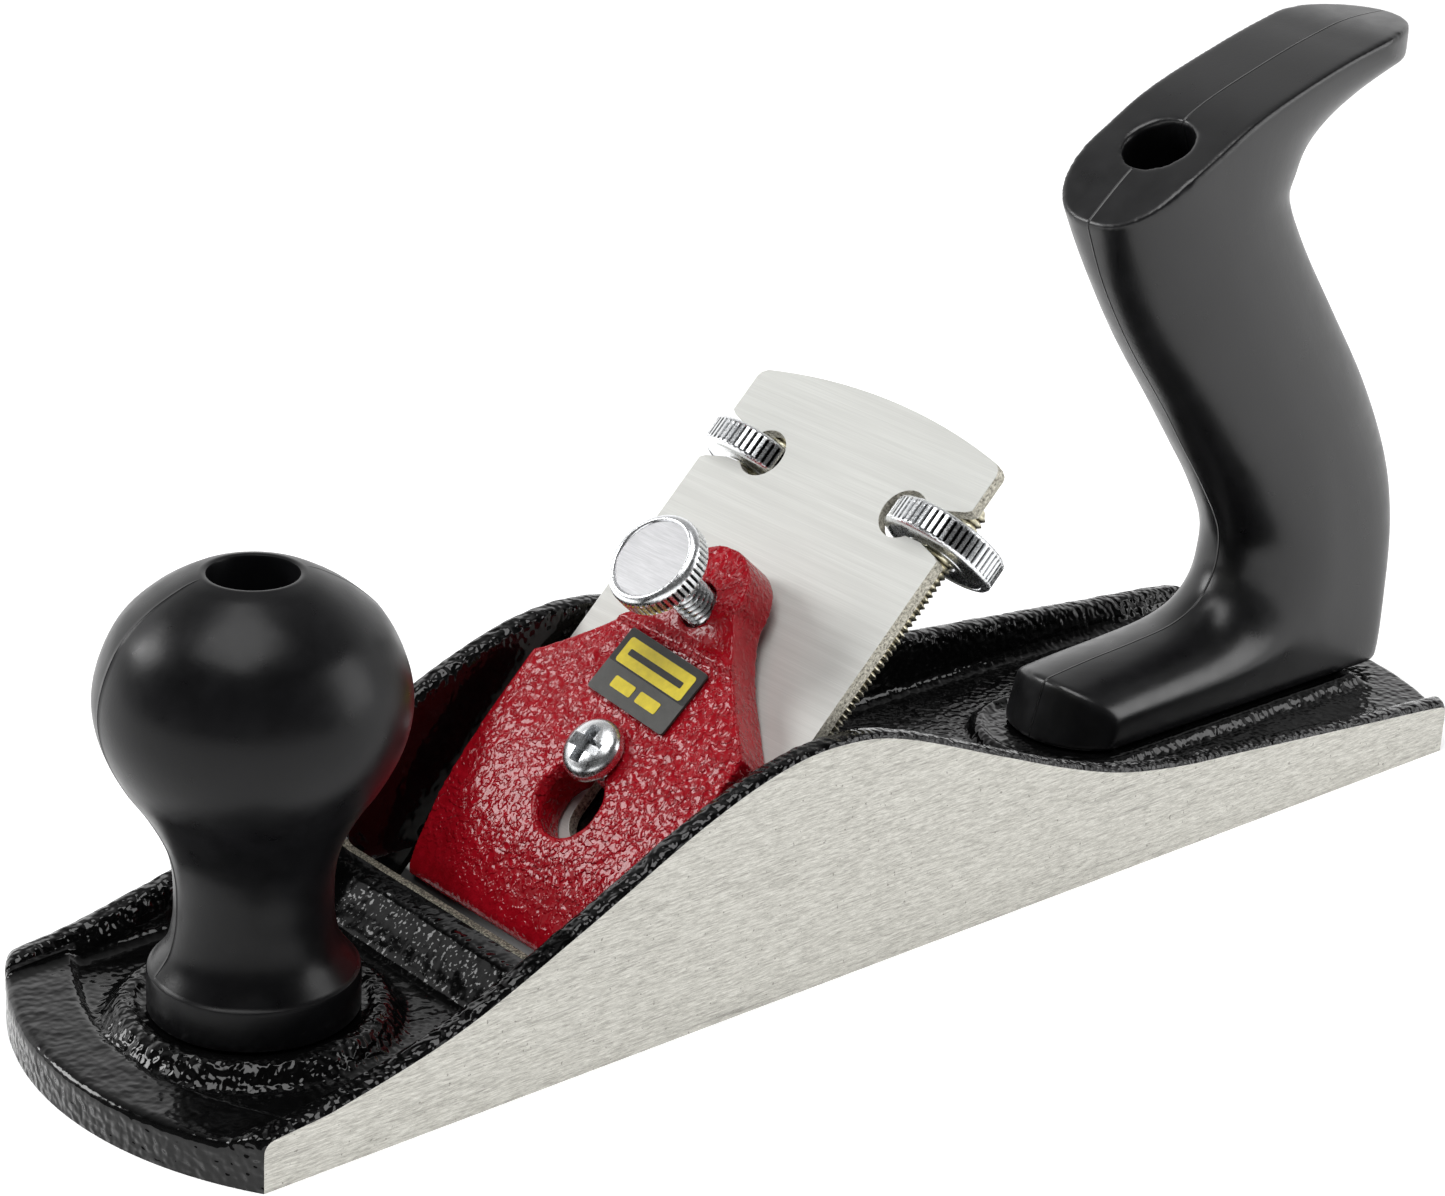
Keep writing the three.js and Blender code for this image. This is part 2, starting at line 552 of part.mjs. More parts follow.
add('handle', handle(), BLACK_PLASTIC);
const boltLength = Math.hypot(
  HANDLE_BOLT.foot[0] - HANDLE_BOLT.top[0], HANDLE_BOLT.foot[1] - HANDLE_BOLT.top[1],
);
const handleWasher = boltLength - HANDLE_BORE.depth + GAP;
add('handle_washer', onHandleBolt(ring(M6 + RUN, 5.1, handleWasher, handleWasher + 1.2, 20)), ZINC);
add('handle_screw', onHandleBolt(panScrew(M6, -5, handleWasher + 1.2 + GAP, 4.7, 3.4)), ZINC);

export default plane;
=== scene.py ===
import math
import bmesh
import bpy
import numpy as np
from mathutils import Matrix, Vector, noise


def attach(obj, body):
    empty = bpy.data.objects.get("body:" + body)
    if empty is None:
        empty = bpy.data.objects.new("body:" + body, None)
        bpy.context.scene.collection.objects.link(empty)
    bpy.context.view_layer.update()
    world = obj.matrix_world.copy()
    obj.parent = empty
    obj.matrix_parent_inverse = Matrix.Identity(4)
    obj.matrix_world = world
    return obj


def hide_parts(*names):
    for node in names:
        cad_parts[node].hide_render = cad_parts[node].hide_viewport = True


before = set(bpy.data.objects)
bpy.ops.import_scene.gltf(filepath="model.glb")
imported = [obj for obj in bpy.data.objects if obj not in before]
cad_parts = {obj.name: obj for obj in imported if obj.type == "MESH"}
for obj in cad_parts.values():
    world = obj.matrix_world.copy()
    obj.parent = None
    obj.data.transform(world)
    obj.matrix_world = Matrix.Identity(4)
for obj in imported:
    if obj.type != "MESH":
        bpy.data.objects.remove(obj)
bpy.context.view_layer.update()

# Bench smoothing plane. Every piece is drawn in millimetres, in the part's own frame: +X runs from
# toe to heel, +Z is up, and the sole lies in z = 0. Pieces on the sloping bed are drawn in bed
# coordinates (u up the iron, y across, h square to its upper face) and placed by BED.

MM = 0.001
TO_METRES = Matrix.Scale(MM, 4)

# ---------------------------------------------------------------- driving dimensions

SIDE_LENGTH = 226
END_BULGE = 9.5
HALF_WIDTH = 30.4
WALL_INNER = 26.3
TOE_FLOOR = 5
HEEL_FLOOR = 6
NOSE_TOP = 6

EDGE_X = -55.4
BED_H = -2.3
BED = Matrix.Translation((EDGE_X, 0, 0)) @ Matrix.Rotation(-math.pi / 4, 4, "Y")

IRON = dict(half=25, length=98.2, thick=2, arc=105.7, bevel=4.4, rest=0.3)
SLOT = dict(half=4.2, start=21, end=46)
FROG_SCREWS = dict(x=-2, y=10.5, seat=12.1)
NUT = dict(u=83.5, y=19.5, h=-5.3, radius=8.8, thick=4.6)
STUD = dict(radius=3, start=33, end=90.3)
CAP = dict(toe_half=22.6, half=22.9, toe=5.2, shoulder=41, end=67, end_radius=7.8, top=6.8)
CAP_LABEL = dict(u=44.5, y=-0.1, half_u=5.25, half_y=8.7, turn=-4.5)
THUMB_HEAD = dict(radius=7.3, low=17.0, high=20.6, face=5.85)
KEYHOLE = dict(big=5.3, at=24.7, slot=3.5)
CAP_SCREW_AT = 32.2
THUMB_AT = 57.3
M6 = 3
M5 = 2.5
RUN = 0.3

KNOB_X = -94
KNOB_SEAT = 7.1
HANDLE_SEAT = 7.3
HANDLE_BOLT_TOP = (65.8, 99.8)
HANDLE_BOLT_FOOT = (105, HANDLE_SEAT)

# ---------------------------------------------------------------- curves and meshes


def catmull_rom(points, steps):
    """A smooth curve through the points, as steps + 1 points."""
    knots = [np.array(p, float) for p in points]
    last = len(knots) - 1
    curve = []
    for step in range(steps + 1):
        place = last * step / steps
        i = min(int(place), last - 1)
        t = place - i
        before, here, there, after = (knots[max(i - 1, 0)], knots[i], knots[i + 1], knots[min(i + 2, last)])
        out, back = (there - before) / 2, (after - here) / 2
        curve.append(
            (2 * here - 2 * there + out + back) * t**3
            + (3 * there - 3 * here - 2 * out - back) * t**2
            + out * t
            + here
        )
    return np.array(curve)


def smoothstep(low, high, value):
    t = np.clip((value - low) / (high - low), 0, 1)
    return t * t * (3 - 2 * t)


def arc(centre, radius, start, end, count):
    """Points on an arc, angles in degrees."""
    turns = np.radians(np.linspace(start, end, count))
    return [(centre[0] + radius * math.cos(a), centre[1] + radius * math.sin(a)) for a in turns]


def build(name, vertices, faces):
    """A mesh object with its faces turned outward."""
    mesh = bpy.data.meshes.new(name)
    mesh.from_pydata([tuple(map(float, v)) for v in vertices], [], faces)
    form = bmesh.new()
    form.from_mesh(mesh)
    bmesh.ops.recalc_face_normals(form, faces=form.faces)
    form.to_mesh(mesh)
    form.free()
    obj = bpy.data.objects.new(name, mesh)
    bpy.context.scene.collection.objects.link(obj)
    return obj


def settle(obj):
    """Applies the object's modifiers to its mesh."""
    graph = bpy.context.evaluated_depsgraph_get()
    shaped = bpy.data.meshes.new_from_object(obj.evaluated_get(graph))
    obj.modifiers.clear()
    old = obj.data
    obj.data = shaped
    bpy.data.meshes.remove(old)
    return obj


def boolean(obj, tool, operation="DIFFERENCE"):
    modifier = obj.modifiers.new("boolean", "BOOLEAN")
    modifier.solver = "MANIFOLD"
    modifier.operation = operation
    modifier.object = tool
    settle(obj)
    bpy.data.objects.remove(tool)
    return obj


def joined(objects):
    """Several separate closed meshes as one object."""
    form = bmesh.new()
    for obj in objects:
        form.from_mesh(obj.data)
    form.to_mesh(objects[0].data)
    form.free()
    for obj in objects[1:]:
        bpy.data.objects.remove(obj)
    return objects[0]


def placed(obj, matrix):
    obj.data.transform(matrix)
    return obj


def remeshed(obj, voxel, rounds):
    """The same solid in small even quads, with its edges softened as a casting's are."""
    skin = obj.modifiers.new("skin", "REMESH")
    skin.mode = "VOXEL"
    skin.voxel_size = voxel
    soft = obj.modifiers.new("soft", "SMOOTH")
    soft.factor = 0.5
    soft.iterations = rounds
    return settle(obj)


def prism(name, outline, low, high, across=False, top_outline=None):
    """An outline raised along Z, or a side view in X and Z drawn out across Y."""
    count = len(outline)
    points = []
    for end, shape in ((low, outline), (high, top_outline or outline)):
        points += [(a, end, b) if across else (a, b, end) for a, b in shape]
    faces = [list(range(count)), list(range(count, 2 * count))]
    for i in range(count):
        after = (i + 1) % count
        faces.append([i, after, count + after, count + i])
    return build(name, points, faces)


def bridge(low, high):
    """Faces between two rings of vertex numbers; a ring of one vertex is a pole."""
    count = max(len(low), len(high))
    faces = []
    for i in range(count):
        after = (i + 1) % count
        if len(low) == 1:
            faces.append([low[0], high[after], high[i]])
        elif len(high) == 1:
            faces.append([low[i], low[after], high[0]])
        else:
            faces.append([low[i], low[after], high[after], high[i]])
    return faces


def lathe(name, profile, angles=64, closed=False, reach=None):
    """A profile of (radius, z) turned about Z. reach(radius, z, angle) may flute or thread it."""
    if isinstance(angles, int):
        angles = [math.tau * i / angles for i in range(angles)]
    vertices, rings = [], []
    for radius, z in profile:
        if radius < 1e-6:
            rings.append([len(vertices)])
            vertices.append((0, 0, z))
            continue
        rings.append(list(range(len(vertices), len(vertices) + len(angles))))
        for angle in angles:
            r = reach(radius, z, angle) if reach else radius
            vertices.append((r * math.cos(angle), r * math.sin(angle), z))
    faces = []
    following = rings[1:] + ([rings[0]] if closed else [])
    for low, high in zip(rings, following):
        faces += bridge(low, high)
    return build(name, vertices, faces)


def rod(name, radius, low, high, angles=32):
    return lathe(name, [(0, low), (radius, low), (radius, high), (0, high)], angles)


def dense(profile, longest):
    """The same profile with extra points, so that no step is longer than this."""
    points = [profile[0]]
    for (r0, z0), (r1, z1) in zip(profile, profile[1:]):
        count = max(1, math.ceil(math.hypot(r1 - r0, z1 - z0) / longest))
        points += [(r0 + (r1 - r0) * i / count, z0 + (z1 - z0) * i / count) for i in range(1, count + 1)]
    return points


def ruffled(obj, depth, size, detail=2, where=None):
    """Moves each vertex along its normal by smooth noise; where(position) scales it."""
    mesh = obj.data
    normals = [v.normal.copy() for v in mesh.vertices]
    for vertex, normal in zip(mesh.vertices, normals):
        amount = depth if where is None else depth * where(vertex.co)
        if amount:
            wave = noise.fractal(vertex.co / size, 0.7, 2.0, detail)
            vertex.co += normal * (amount * wave)
    return obj


# ---------------------------------------------------------------- materials


class Nodes:
    """A material with one Principled shader, and short names for the nodes that feed it."""

    def __init__(self, name, **values):
        self.material = bpy.data.materials.new(name)
        self.material.use_nodes = True
        self.tree = self.material.node_tree
        self.shader = self.tree.nodes["Principled BSDF"]
        for socket, value in values.items():
            self.shader.inputs[socket.replace("_", " ")].default_value = value
        self.place = self.tree.nodes.new("ShaderNodeTexCoord").outputs["Object"]

    def link(self, source, target):
        self.tree.links.new(source, target)

    def stretched(self, scale, turn=(0, 0, 0)):
        node = self.tree.nodes.new("ShaderNodeMapping")
        node.inputs["Scale"].default_value = scale
        node.inputs["Rotation"].default_value = turn
        self.link(self.place, node.inputs["Vector"])
        return node.outputs[0]

    def noise(self, scale, detail=3, rough=0.55, place=None, warp=0):
        node = self.tree.nodes.new("ShaderNodeTexNoise")
        node.inputs["Scale"].default_value = scale
        node.inputs["Detail"].default_value = detail
        node.inputs["Roughness"].default_value = rough
        node.inputs["Distortion"].default_value = warp
        self.link(place or self.place, node.inputs["Vector"])
        return node.outputs["Fac"]

    def ramp(self, source, *stops):
        """Stops are (position, grey or colour)."""
        node = self.tree.nodes.new("ShaderNodeValToRGB")
        elements = node.color_ramp.elements
        while len(elements) < len(stops):
            elements.new(0.5)
        for element, (position, value) in zip(elements, stops):
            colour = value if isinstance(value, tuple) else (value,) * 3
            element.position = position
            element.color = (*colour, 1)
        self.link(source, node.inputs[0])
        return node.outputs[0]

    def math(self, operation, a, b=0.0):
        node = self.tree.nodes.new("ShaderNodeMath")
        node.operation = operation
        for socket, value in zip(node.inputs, (a, b)):
            if isinstance(value, (int, float)):
                socket.default_value = value
            else:
                self.link(value, socket)
        return node.outputs[0]

    def mix(self, factor, a, b):
        node = self.tree.nodes.new("ShaderNodeMix")
        node.data_type = "RGBA"
        for socket, value in zip((node.inputs[0], node.inputs[6], node.inputs[7]), (factor, a, b)):
            if isinstance(value, tuple):
                socket.default_value = (*value, 1)
            elif isinstance(value, (int, float)):
                socket.default_value = value
            else:
                self.link(value, socket)
        return node.outputs[2]

    def axis(self, name):
        node = self.tree.nodes.new("ShaderNodeSeparateXYZ")
        self.link(self.place, node.inputs[0])
        return node.outputs[name]

    def attribute(self, name):
        node = self.tree.nodes.new("ShaderNodeAttribute")
        node.attribute_name = name
        return node.outputs["Fac"]

    def bump(self, height, distance, strength=1.0):
        """Adds a layer of bump under the ones already there; distance is in millimetres."""
        node = self.tree.nodes.new("ShaderNodeBump")
        node.inputs["Distance"].default_value = distance * MM
        if isinstance(strength, (int, float)):
            node.inputs["Strength"].default_value = strength
        else:
            self.link(strength, node.inputs["Strength"])
        self.link(height, node.inputs["Height"])
        normal = self.shader.inputs["Normal"]
        if normal.links:
            self.link(normal.links[0].from_socket, node.inputs["Normal"])
        self.link(node.outputs[0], normal)

    def colour(self, source):
        self.link(source, self.shader.inputs["Base Color"])

    def roughness(self, source):
        self.link(source, self.shader.inputs["Roughness"])


def black_enamel():
    m = Nodes("black enamel")
    specks = m.ramp(m.noise(1.6, 1), (0.6, 1.0), (0.66, 0.25))
    dull = m.math("MULTIPLY", m.attribute("calm"), specks)
    m.link(m.ramp(dull, (0.0, 0.36), (1.0, 0.02)), m.shader.inputs["Specular IOR Level"])
    m.colour(m.ramp(m.noise(0.35, 4), (0.3, (0.0015, 0.0015, 0.0015)), (0.75, (0.004, 0.004, 0.0042))))
    m.roughness(m.ramp(m.noise(0.8, 4), (0.3, 0.06), (0.7, 0.14)))
    m.bump(m.noise(0.35, 1), 0.3, m.ramp(m.attribute("calm"), (0.0, 0.5), (1.0, 0.25)))
    m.bump(m.noise(1.0, 0, warp=0.2), 0.42, m.attribute("pebble"))
    return m.material


def red_enamel():
    m = Nodes("red enamel", Specular_IOR_Level=0.3)
    m.colour(m.ramp(m.noise(0.5, 4), (0.25, (0.27, 0.002, 0.007)), (0.75, (0.4, 0.005, 0.014))))
    m.roughness(m.ramp(m.noise(1.2, 4), (0.3, 0.1), (0.7, 0.18)))
    pebble = m.attribute("pebble")
    m.bump(m.noise(0.7, 1), 0.26, pebble)
    m.bump(m.ramp(m.noise(1.2, 1, 0.4), (0.48, 0.0), (0.62, 1.0)), 0.17, pebble)
    return m.material


def ground_iron():
    m = Nodes("ground iron", Metallic=0.75, Specular_IOR_Level=0.5)
    tilt = (0, math.radians(-1.5), 0)
    lines = m.noise(1.0, 5, 0.85, m.stretched((0.5, 1, 5), tilt))
    face = m.ramp(lines, (0.34, (0.34, 0.33, 0.3)), (0.5, (0.56, 0.55, 0.505)), (0.66, (0.74, 0.73, 0.68)))
    long_lines = m.noise(1.0, 2, 0.5, m.stretched((0.008, 0.3, 0.5), tilt))
    scratch = m.ramp(long_lines, (0.495, 0.0), (0.5, 0.6), (0.505, 0.0))
    scored = m.mix(scratch, face, (0.26, 0.25, 0.23))
    specks = m.ramp(m.noise(1.7, 2, 0.4), (0.71, 0.0), (0.76, 0.75))
    m.colour(m.mix(specks, scored, (0.2, 0.19, 0.17)))
    m.roughness(m.ramp(lines, (0.3, 0.6), (0.7, 0.46)))
    m.bump(lines, 0.05, 0.7)
    return m.material


def raw_iron():
    m = Nodes("raw iron", Metallic=0.5, Specular_IOR_Level=0.5)
    grit = m.noise(3.5, 4, 0.75)
    pits, skin, grains = (0.02, 0.018, 0.015), (0.16, 0.15, 0.115), (0.5, 0.46, 0.37)
    m.colour(m.ramp(grit, (0.38, pits), (0.5, skin), (0.64, grains)))
    m.roughness(m.ramp(grit, (0.3, 0.7), (0.7, 0.45)))
    m.bump(grit, 0.2, 0.9)
    return m.material


def blade_steel():
    m = Nodes("blade steel", Metallic=0.4, Specular_IOR_Level=0.4)
    lines = m.noise(1.0, 5, 0.7, m.stretched((6, 0.05, 1)))
    bands = m.noise(1.0, 2, 0.5, m.stretched((0.9, 0.012, 0.5)))
    face = m.ramp(lines, (0.2, (0.58, 0.585, 0.56)), (0.8, (0.72, 0.725, 0.695)))
    shade = m.mix(m.ramp(bands, (0.4, 0.0), (0.6, 0.4)), face, (0.56, 0.56, 0.535))
    # Painted reflection and shade: the strip along the cutting edge, below the cap's toe, is dark steel
    # grey, darker towards +y and lighter towards -y (the sheen ramp).
    along = m.axis("X")
    shaded_edge_strip = m.ramp(m.math("DIVIDE", along, 10), (0.55, 1.0), (0.6, 0.0))
    sheen = m.ramp(m.math("ADD", m.math("DIVIDE", m.axis("Y"), 50), 0.5), (0.1, 0.4), (0.8, 0.05))
    face_with_shaded_strip = m.mix(shaded_edge_strip, shade, sheen)
    grit = m.noise(2.2, 4, 0.7)
    pits, skin, grains = (0.16, 0.15, 0.12), (0.62, 0.59, 0.5), (0.92, 0.89, 0.8)
    rough_steel = m.ramp(grit, (0.35, pits), (0.52, skin), (0.68, grains))
    edge = m.attribute("rough_edge")
    m.colour(m.mix(edge, face_with_shaded_strip, rough_steel))
    m.roughness(m.ramp(lines, (0.3, 0.68), (0.7, 0.58)))
    m.bump(lines, 0.012, 0.5)
    m.bump(grit, 0.5, edge)
    return m.material


def bright_zinc():
    m = Nodes("bright zinc", Metallic=1.0)
    clean_unshaded = m.ramp(m.noise(0.9, 3), (0.3, (0.78, 0.8, 0.82)), (0.7, (0.9, 0.91, 0.92)))
    # Near black where the groove attribute is set, in thread and flute roots and in recesses: dirt, and
    # painted shade.
    m.colour(m.mix(m.attribute("groove"), clean_unshaded, (0.05, 0.05, 0.052)))
    m.roughness(m.ramp(m.noise(2.5, 3), (0.3, 0.2), (0.7, 0.32)))
    m.bump(m.noise(1.6, 3), 0.02, 0.6)
    return m.material


def brushed_zinc():
    m = Nodes("brushed zinc", Metallic=1.0)
    lines = m.noise(1.0, 5, 0.7, m.stretched((6, 0.25, 1), (0, 0, math.radians(35))))
    m.colour(m.ramp(lines, (0.3, (0.42, 0.42, 0.43)), (0.7, (0.53, 0.53, 0.54))))
    m.roughness(m.ramp(lines, (0.3, 0.55), (0.7, 0.42)))
    m.bump(lines, 0.02, 0.6)
    return m.material


def yellow_zinc():
    m = Nodes("yellow zinc", Metallic=1.0)
    clean_unshaded = m.ramp(m.noise(0.7, 3), (0.3, (0.7, 0.65, 0.46)), (0.7, (0.9, 0.86, 0.7)))
    # Near black where the groove attribute is set, in the thread roots: dirt, and painted shade.
    m.colour(m.mix(m.attribute("groove"), clean_unshaded, (0.06, 0.05, 0.03)))
    m.roughness(m.ramp(m.noise(3, 3), (0.3, 0.22), (0.7, 0.38)))
    m.bump(m.noise(3, 3), 0.03, 0.6)
    return m.material


def black_plastic(name, sheen, seam_y=None):
    m = Nodes(name, Specular_IOR_Level=sheen)
    m.colour(m.ramp(m.noise(0.15, 4), (0.3, (0.004, 0.004, 0.0045)), (0.7, (0.0065, 0.0065, 0.0075))))
    m.roughness(m.ramp(m.noise(0.3, 5), (0.3, 0.27), (0.7, 0.35)))
    m.bump(m.noise(2.2, 4), 0.012, 0.7)
    if seam_y is not None:
        away = m.math("ABSOLUTE", m.math("SUBTRACT", m.axis("Y"), seam_y))
        m.bump(m.ramp(away, (0.0, 1.0), (0.22, 0.0)), 0.12, 0.9)
    return m.material


def film(name, colour):
    m = Nodes(name, Specular_IOR_Level=0.2)
    dark = tuple(0.82 * c for c in colour)
    m.colour(m.ramp(m.noise(0.8, 4), (0.3, dark), (0.7, colour)))
    m.roughness(m.ramp(m.noise(2, 3), (0.3, 0.28), (0.7, 0.42)))
    m.bump(m.noise(1.5, 2), 0.03, 0.5)
    return m.material


BLACK_ENAMEL = black_enamel()
RED_ENAMEL = red_enamel()
GROUND_IRON = ground_iron()
BLADE_STEEL = blade_steel()
BRIGHT_ZINC = bright_zinc()
BRUSHED_ZINC = brushed_zinc()
YELLOW_ZINC = yellow_zinc()
KNOB_PLASTIC = black_plastic("knob plastic", 0.22)
HANDLE_PLASTIC = black_plastic("handle plastic", 0.55, seam_y=0.0)
RAW_IRON = raw_iron()
LABEL_BLACK = film("label black", (0.014, 0.014, 0.013))
LABEL_GREY = film("label grey", (0.075, 0.075, 0.07))
LABEL_YELLOW = film("label yellow", (0.8, 0.64, 0.03))


def hand_over(obj, body, materials, nodes=(), place=None, sharp=35):
    """Places a finished piece, gives it its material and body, and hides the CAD nodes it stands for."""
    mesh = obj.data
    finishes = [face.material_index for face in mesh.polygons]
    mesh.materials.clear()
    for material in materials:
        mesh.materials.append(material)
    mesh.polygons.foreach_set("material_index", finishes)
    mesh.shade_smooth()
    mesh.set_sharp_from_angle(angle=math.radians(sharp))
    obj.matrix_world = TO_METRES @ (place or Matrix.Identity(4))
    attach(obj, body)
    if nodes:
        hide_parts(*nodes)
    return obj


def set_attribute(obj, name, rule):
    """Stores rule(position) on every vertex, for a material to read."""
    mesh = obj.data
    layer = mesh.attributes.new(name, "FLOAT", "POINT")
    layer.data.foreach_set("value", [float(rule(v.co)) for v in mesh.vertices])


# ---------------------------------------------------------------- body casting

END_RADIUS = (HALF_WIDTH**2 + END_BULGE**2) / (2 * END_BULGE)
HALF_SIDE = SIDE_LENGTH / 2
WING_TOP = [
    (-113, 6), (-112, 7.4), (-101, 9.2), (-83, 13.8), (-64, 21.9), (-44, 31.2), (-30, 35.8), (-19, 36.6),
    (-8, 34.4), (11, 26.8), (25, 21.2), (37, 17.3), (50, 14.9), (64, 13.5), (92, 10.7), (112, 8.6), (113, 7),
]
WING_CURVE = catmull_rom(WING_TOP, 400)
RIDGE = [(0, 0.8), (0.12, 0.42), (0.5, 0.12), (1.1, 0), (1.9, 0.03), (2.6, 0.2), (3.1, 0.6), (3.35, 1.2)]
RIDGE_ROOM = 2.6                # a wing lower than this above the floor has a flatter ridge
FILLET = 2.2
PLATEAU = dict(middle=-113.4, bow=0.0122)     # back edge of the raised nose, bowed across the toe
RING = dict(foot=20.3, top=7.8, outer=17.8, inner=15.6, seat=6.8)
RIB = dict(front=-71.3, edge=-65.2, land=-63.2, groove=-62.2, back=-61.0, crest=10.5, lip=-58.6)
PAD = dict(half=13.0, front=43.4, back=110.5, top=7.0, bead=7.75, bead_half=1.7)


def wing_top(x):
    return np.interp(x, WING_CURVE[:, 0], WING_CURVE[:, 1])


def end_bulge(y):
    return np.sqrt(END_RADIUS**2 - y**2) - (END_RADIUS - END_BULGE)


def pad_distance(x, y):
    """Distance outside the pad's centre line outline; negative inside it."""
    middle = (PAD["front"] + PAD["half"] + PAD["back"]) / 2
    reach = (PAD["back"] - PAD["front"] - PAD["half"]) / 2
    round_front = np.hypot(x - (PAD["front"] + PAD["half"]), y) - PAD["half"]
    box = np.maximum(np.abs(x - middle) - reach, np.abs(y) - PAD["half"])
    return np.where(x < PAD["front"] + PAD["half"], round_front, box)


def rib_side():
    """The rib seen from the side, as (x, z): front slope, crest with its fine groove, back."""
    groove, back, crest = RIB["groove"], RIB["back"], RIB["crest"]
    front = [(RIB["front"] - 1.5, 0), (RIB["front"], TOE_FLOOR + 0.3), (-68.5, 7.6), (-65.8, crest - 0.5)]
    land = [(RIB["edge"], crest - 0.15), (RIB["land"], crest), (groove - 0.2, crest)]
    strip = [(groove, crest - 0.4), (groove + 0.2, crest - 0.1), (back, crest - 0.1)]
    return front + land + strip + [(back + 0.3, crest - 1), (back + 0.6, 6.6), (back + 1.1, 0)]


def floor_height(x, y):
    """Top of the casting between the wings."""
    y = np.abs(y)
    plateau_edge = PLATEAU["middle"] + PLATEAU["bow"] * y**2
    z = np.where(x < RIB["lip"], TOE_FLOOR, HEEL_FLOOR)
    z = z + (NOSE_TOP - TOE_FLOOR) * (1 - smoothstep(plateau_edge - 0.5, plateau_edge + 0.7, x))
    r = np.hypot(x - KNOB_X, y)
    ring = TOE_FLOOR + (RING["top"] - TOE_FLOOR) * (1 - smoothstep(RING["outer"] - 0.8, RING["foot"], r))
    ring = np.where(r < RING["foot"], ring, 0)
    dish = RING["top"] - RING["seat"]
    ring = ring - dish * (1 - smoothstep(RING["inner"] - 0.8, RING["inner"] + 0.1, r))
    z = np.maximum(z, ring)
    z = np.maximum(z, np.interp(x, *zip(*rib_side())))
    outside = pad_distance(x, y)
    bead = np.clip(1 - (outside / PAD["bead_half"]) ** 2, 0, None) * (PAD["bead"] - HEEL_FLOOR)
    pad = HEEL_FLOOR + np.where(outside < 0, np.maximum(bead, PAD["top"] - HEEL_FLOOR), bead)
    return np.where(x > 0, np.maximum(z, pad), z)


def stations():
    """Places along the casting as (x, drop of a rounded end, share of the height)."""
    nose, heel, step, fine = 1.3, 1.1, 0.55, 0.2
    rows = []
    for share in np.linspace(0, 1, 9)[:-1]:
        rows.append((-HALF_SIDE, nose, share))
    for turn in np.radians(np.linspace(90, 0, 6)[:-1]):
        rows.append((-HALF_SIDE + nose - nose * math.sin(turn), nose - nose * math.cos(turn), 1))
    x, end = -HALF_SIDE + nose, HALF_SIDE - heel
    while x < end:
        rows.append((x, 0, 1))
        x += fine if RIB["edge"] - 1 < x < RIB["back"] + 1 else step
    rows.append((end, 0, 1))
    for turn in np.radians(np.linspace(0, 90, 6)[1:]):
        rows.append((HALF_SIDE - heel + heel * math.sin(turn), heel - heel * math.cos(turn), 1))
    for share in np.linspace(1, 0, 9)[1:]:
        rows.append((HALF_SIDE, heel, share))
    return rows


def half_section(x):
    """One half of the casting's upper skin at x, from the cheek to the middle, as (y, z) rows."""
    warp = smoothstep(88, HALF_SIDE, abs(x)) * math.copysign(1, x)
    top = float(wing_top(x))
    inner = WALL_INNER - FILLET
    foot = float(floor_height(x + warp * end_bulge(inner), inner))
    room = max(top - foot, 0)
    scale = max(min(1, room / RIDGE_ROOM), 0.1)
    rows = [(HALF_WIDTH - inset, top - drop * scale) for inset, drop in RIDGE]
    low = foot + min(FILLET, 0.45 * room)
    wall_top = rows[-1]
    for t in np.linspace(0, 1, 14)[1:]:
        rows.append((wall_top[0] + (WALL_INNER - wall_top[0]) * t, wall_top[1] + (low - wall_top[1]) * t))
    for turn in np.radians(np.linspace(0, 90, 7)[1:]):
        rows.append((inner + FILLET * math.cos(turn), low - (low - foot) * math.sin(turn)))
    for y in np.linspace(inner, 0, 49)[1:]:
        rows.append((y, float(floor_height(x + warp * end_bulge(y), y))))
    return np.array([(x + warp * end_bulge(y), y, z) for y, z in rows])


def casting_skin():
    rows = []
    for x, drop, share in stations():
        half = half_section(x)
        half[:, 2] = (half[:, 2] - drop) * share
        mirrored = half[:-1][::-1] * (1, -1, 1)
        rows.append(np.vstack([half, mirrored]))
    return np.array(rows)


def body_casting():
    skin = casting_skin()
    rows, columns = skin.shape[:2]
    number = np.arange(rows * columns).reshape(rows, columns)
    faces = []
    for i in range(rows - 1):
        for j in range(columns - 1):
            faces.append([number[i, j], number[i + 1, j], number[i + 1, j + 1], number[i, j + 1]])
    faces.append(list(number[:, 0]))
    faces.append(list(number[:, -1][::-1]))
    faces.append(list(number[0]) + list(number[-1][::-1]))
    faces = [[int(i) for i in face] for face in faces]
    casting = build("casting", skin.reshape(-1, 3), faces)
    pebbly(casting)
    back = EDGE_X - BED_H * math.sqrt(2) + RUN
    lip, above = RIB["lip"], 7.5
    throat = [(lip, -1), (back - 1, -1), (back + above, above), (lip - above * 0.28, above), (lip, 0)]
    mouth = prism("mouth", throat, -25.6, 25.6, across=True)
    holes = [rod("knob hole", M6 + RUN, 1.3, 9)]
    placed(holes[0], Matrix.Translation((KNOB_X, 0, 0)))
    for y in (FROG_SCREWS["y"], -FROG_SCREWS["y"]):
        place = Matrix.Translation((FROG_SCREWS["x"], y, 0))
        holes.append(placed(rod("frog hole", M5 + RUN, 1.2, 9), place))
    holes.append(placed(rod("bolt hole", M6 + RUN, -5.6, 4), handle_bolt_place()))
    boolean(casting, joined([mouth] + holes))
    mark_ground(casting)
    set_attribute(casting, "pebble", pebble_depth)
    set_attribute(casting, "calm", rib_slope)
    finishes = [BLACK_ENAMEL, GROUND_IRON, RAW_IRON]
    hand_over(casting, "plane_body", finishes, ["body_casting"], sharp=45)
    crisp_borders(casting)


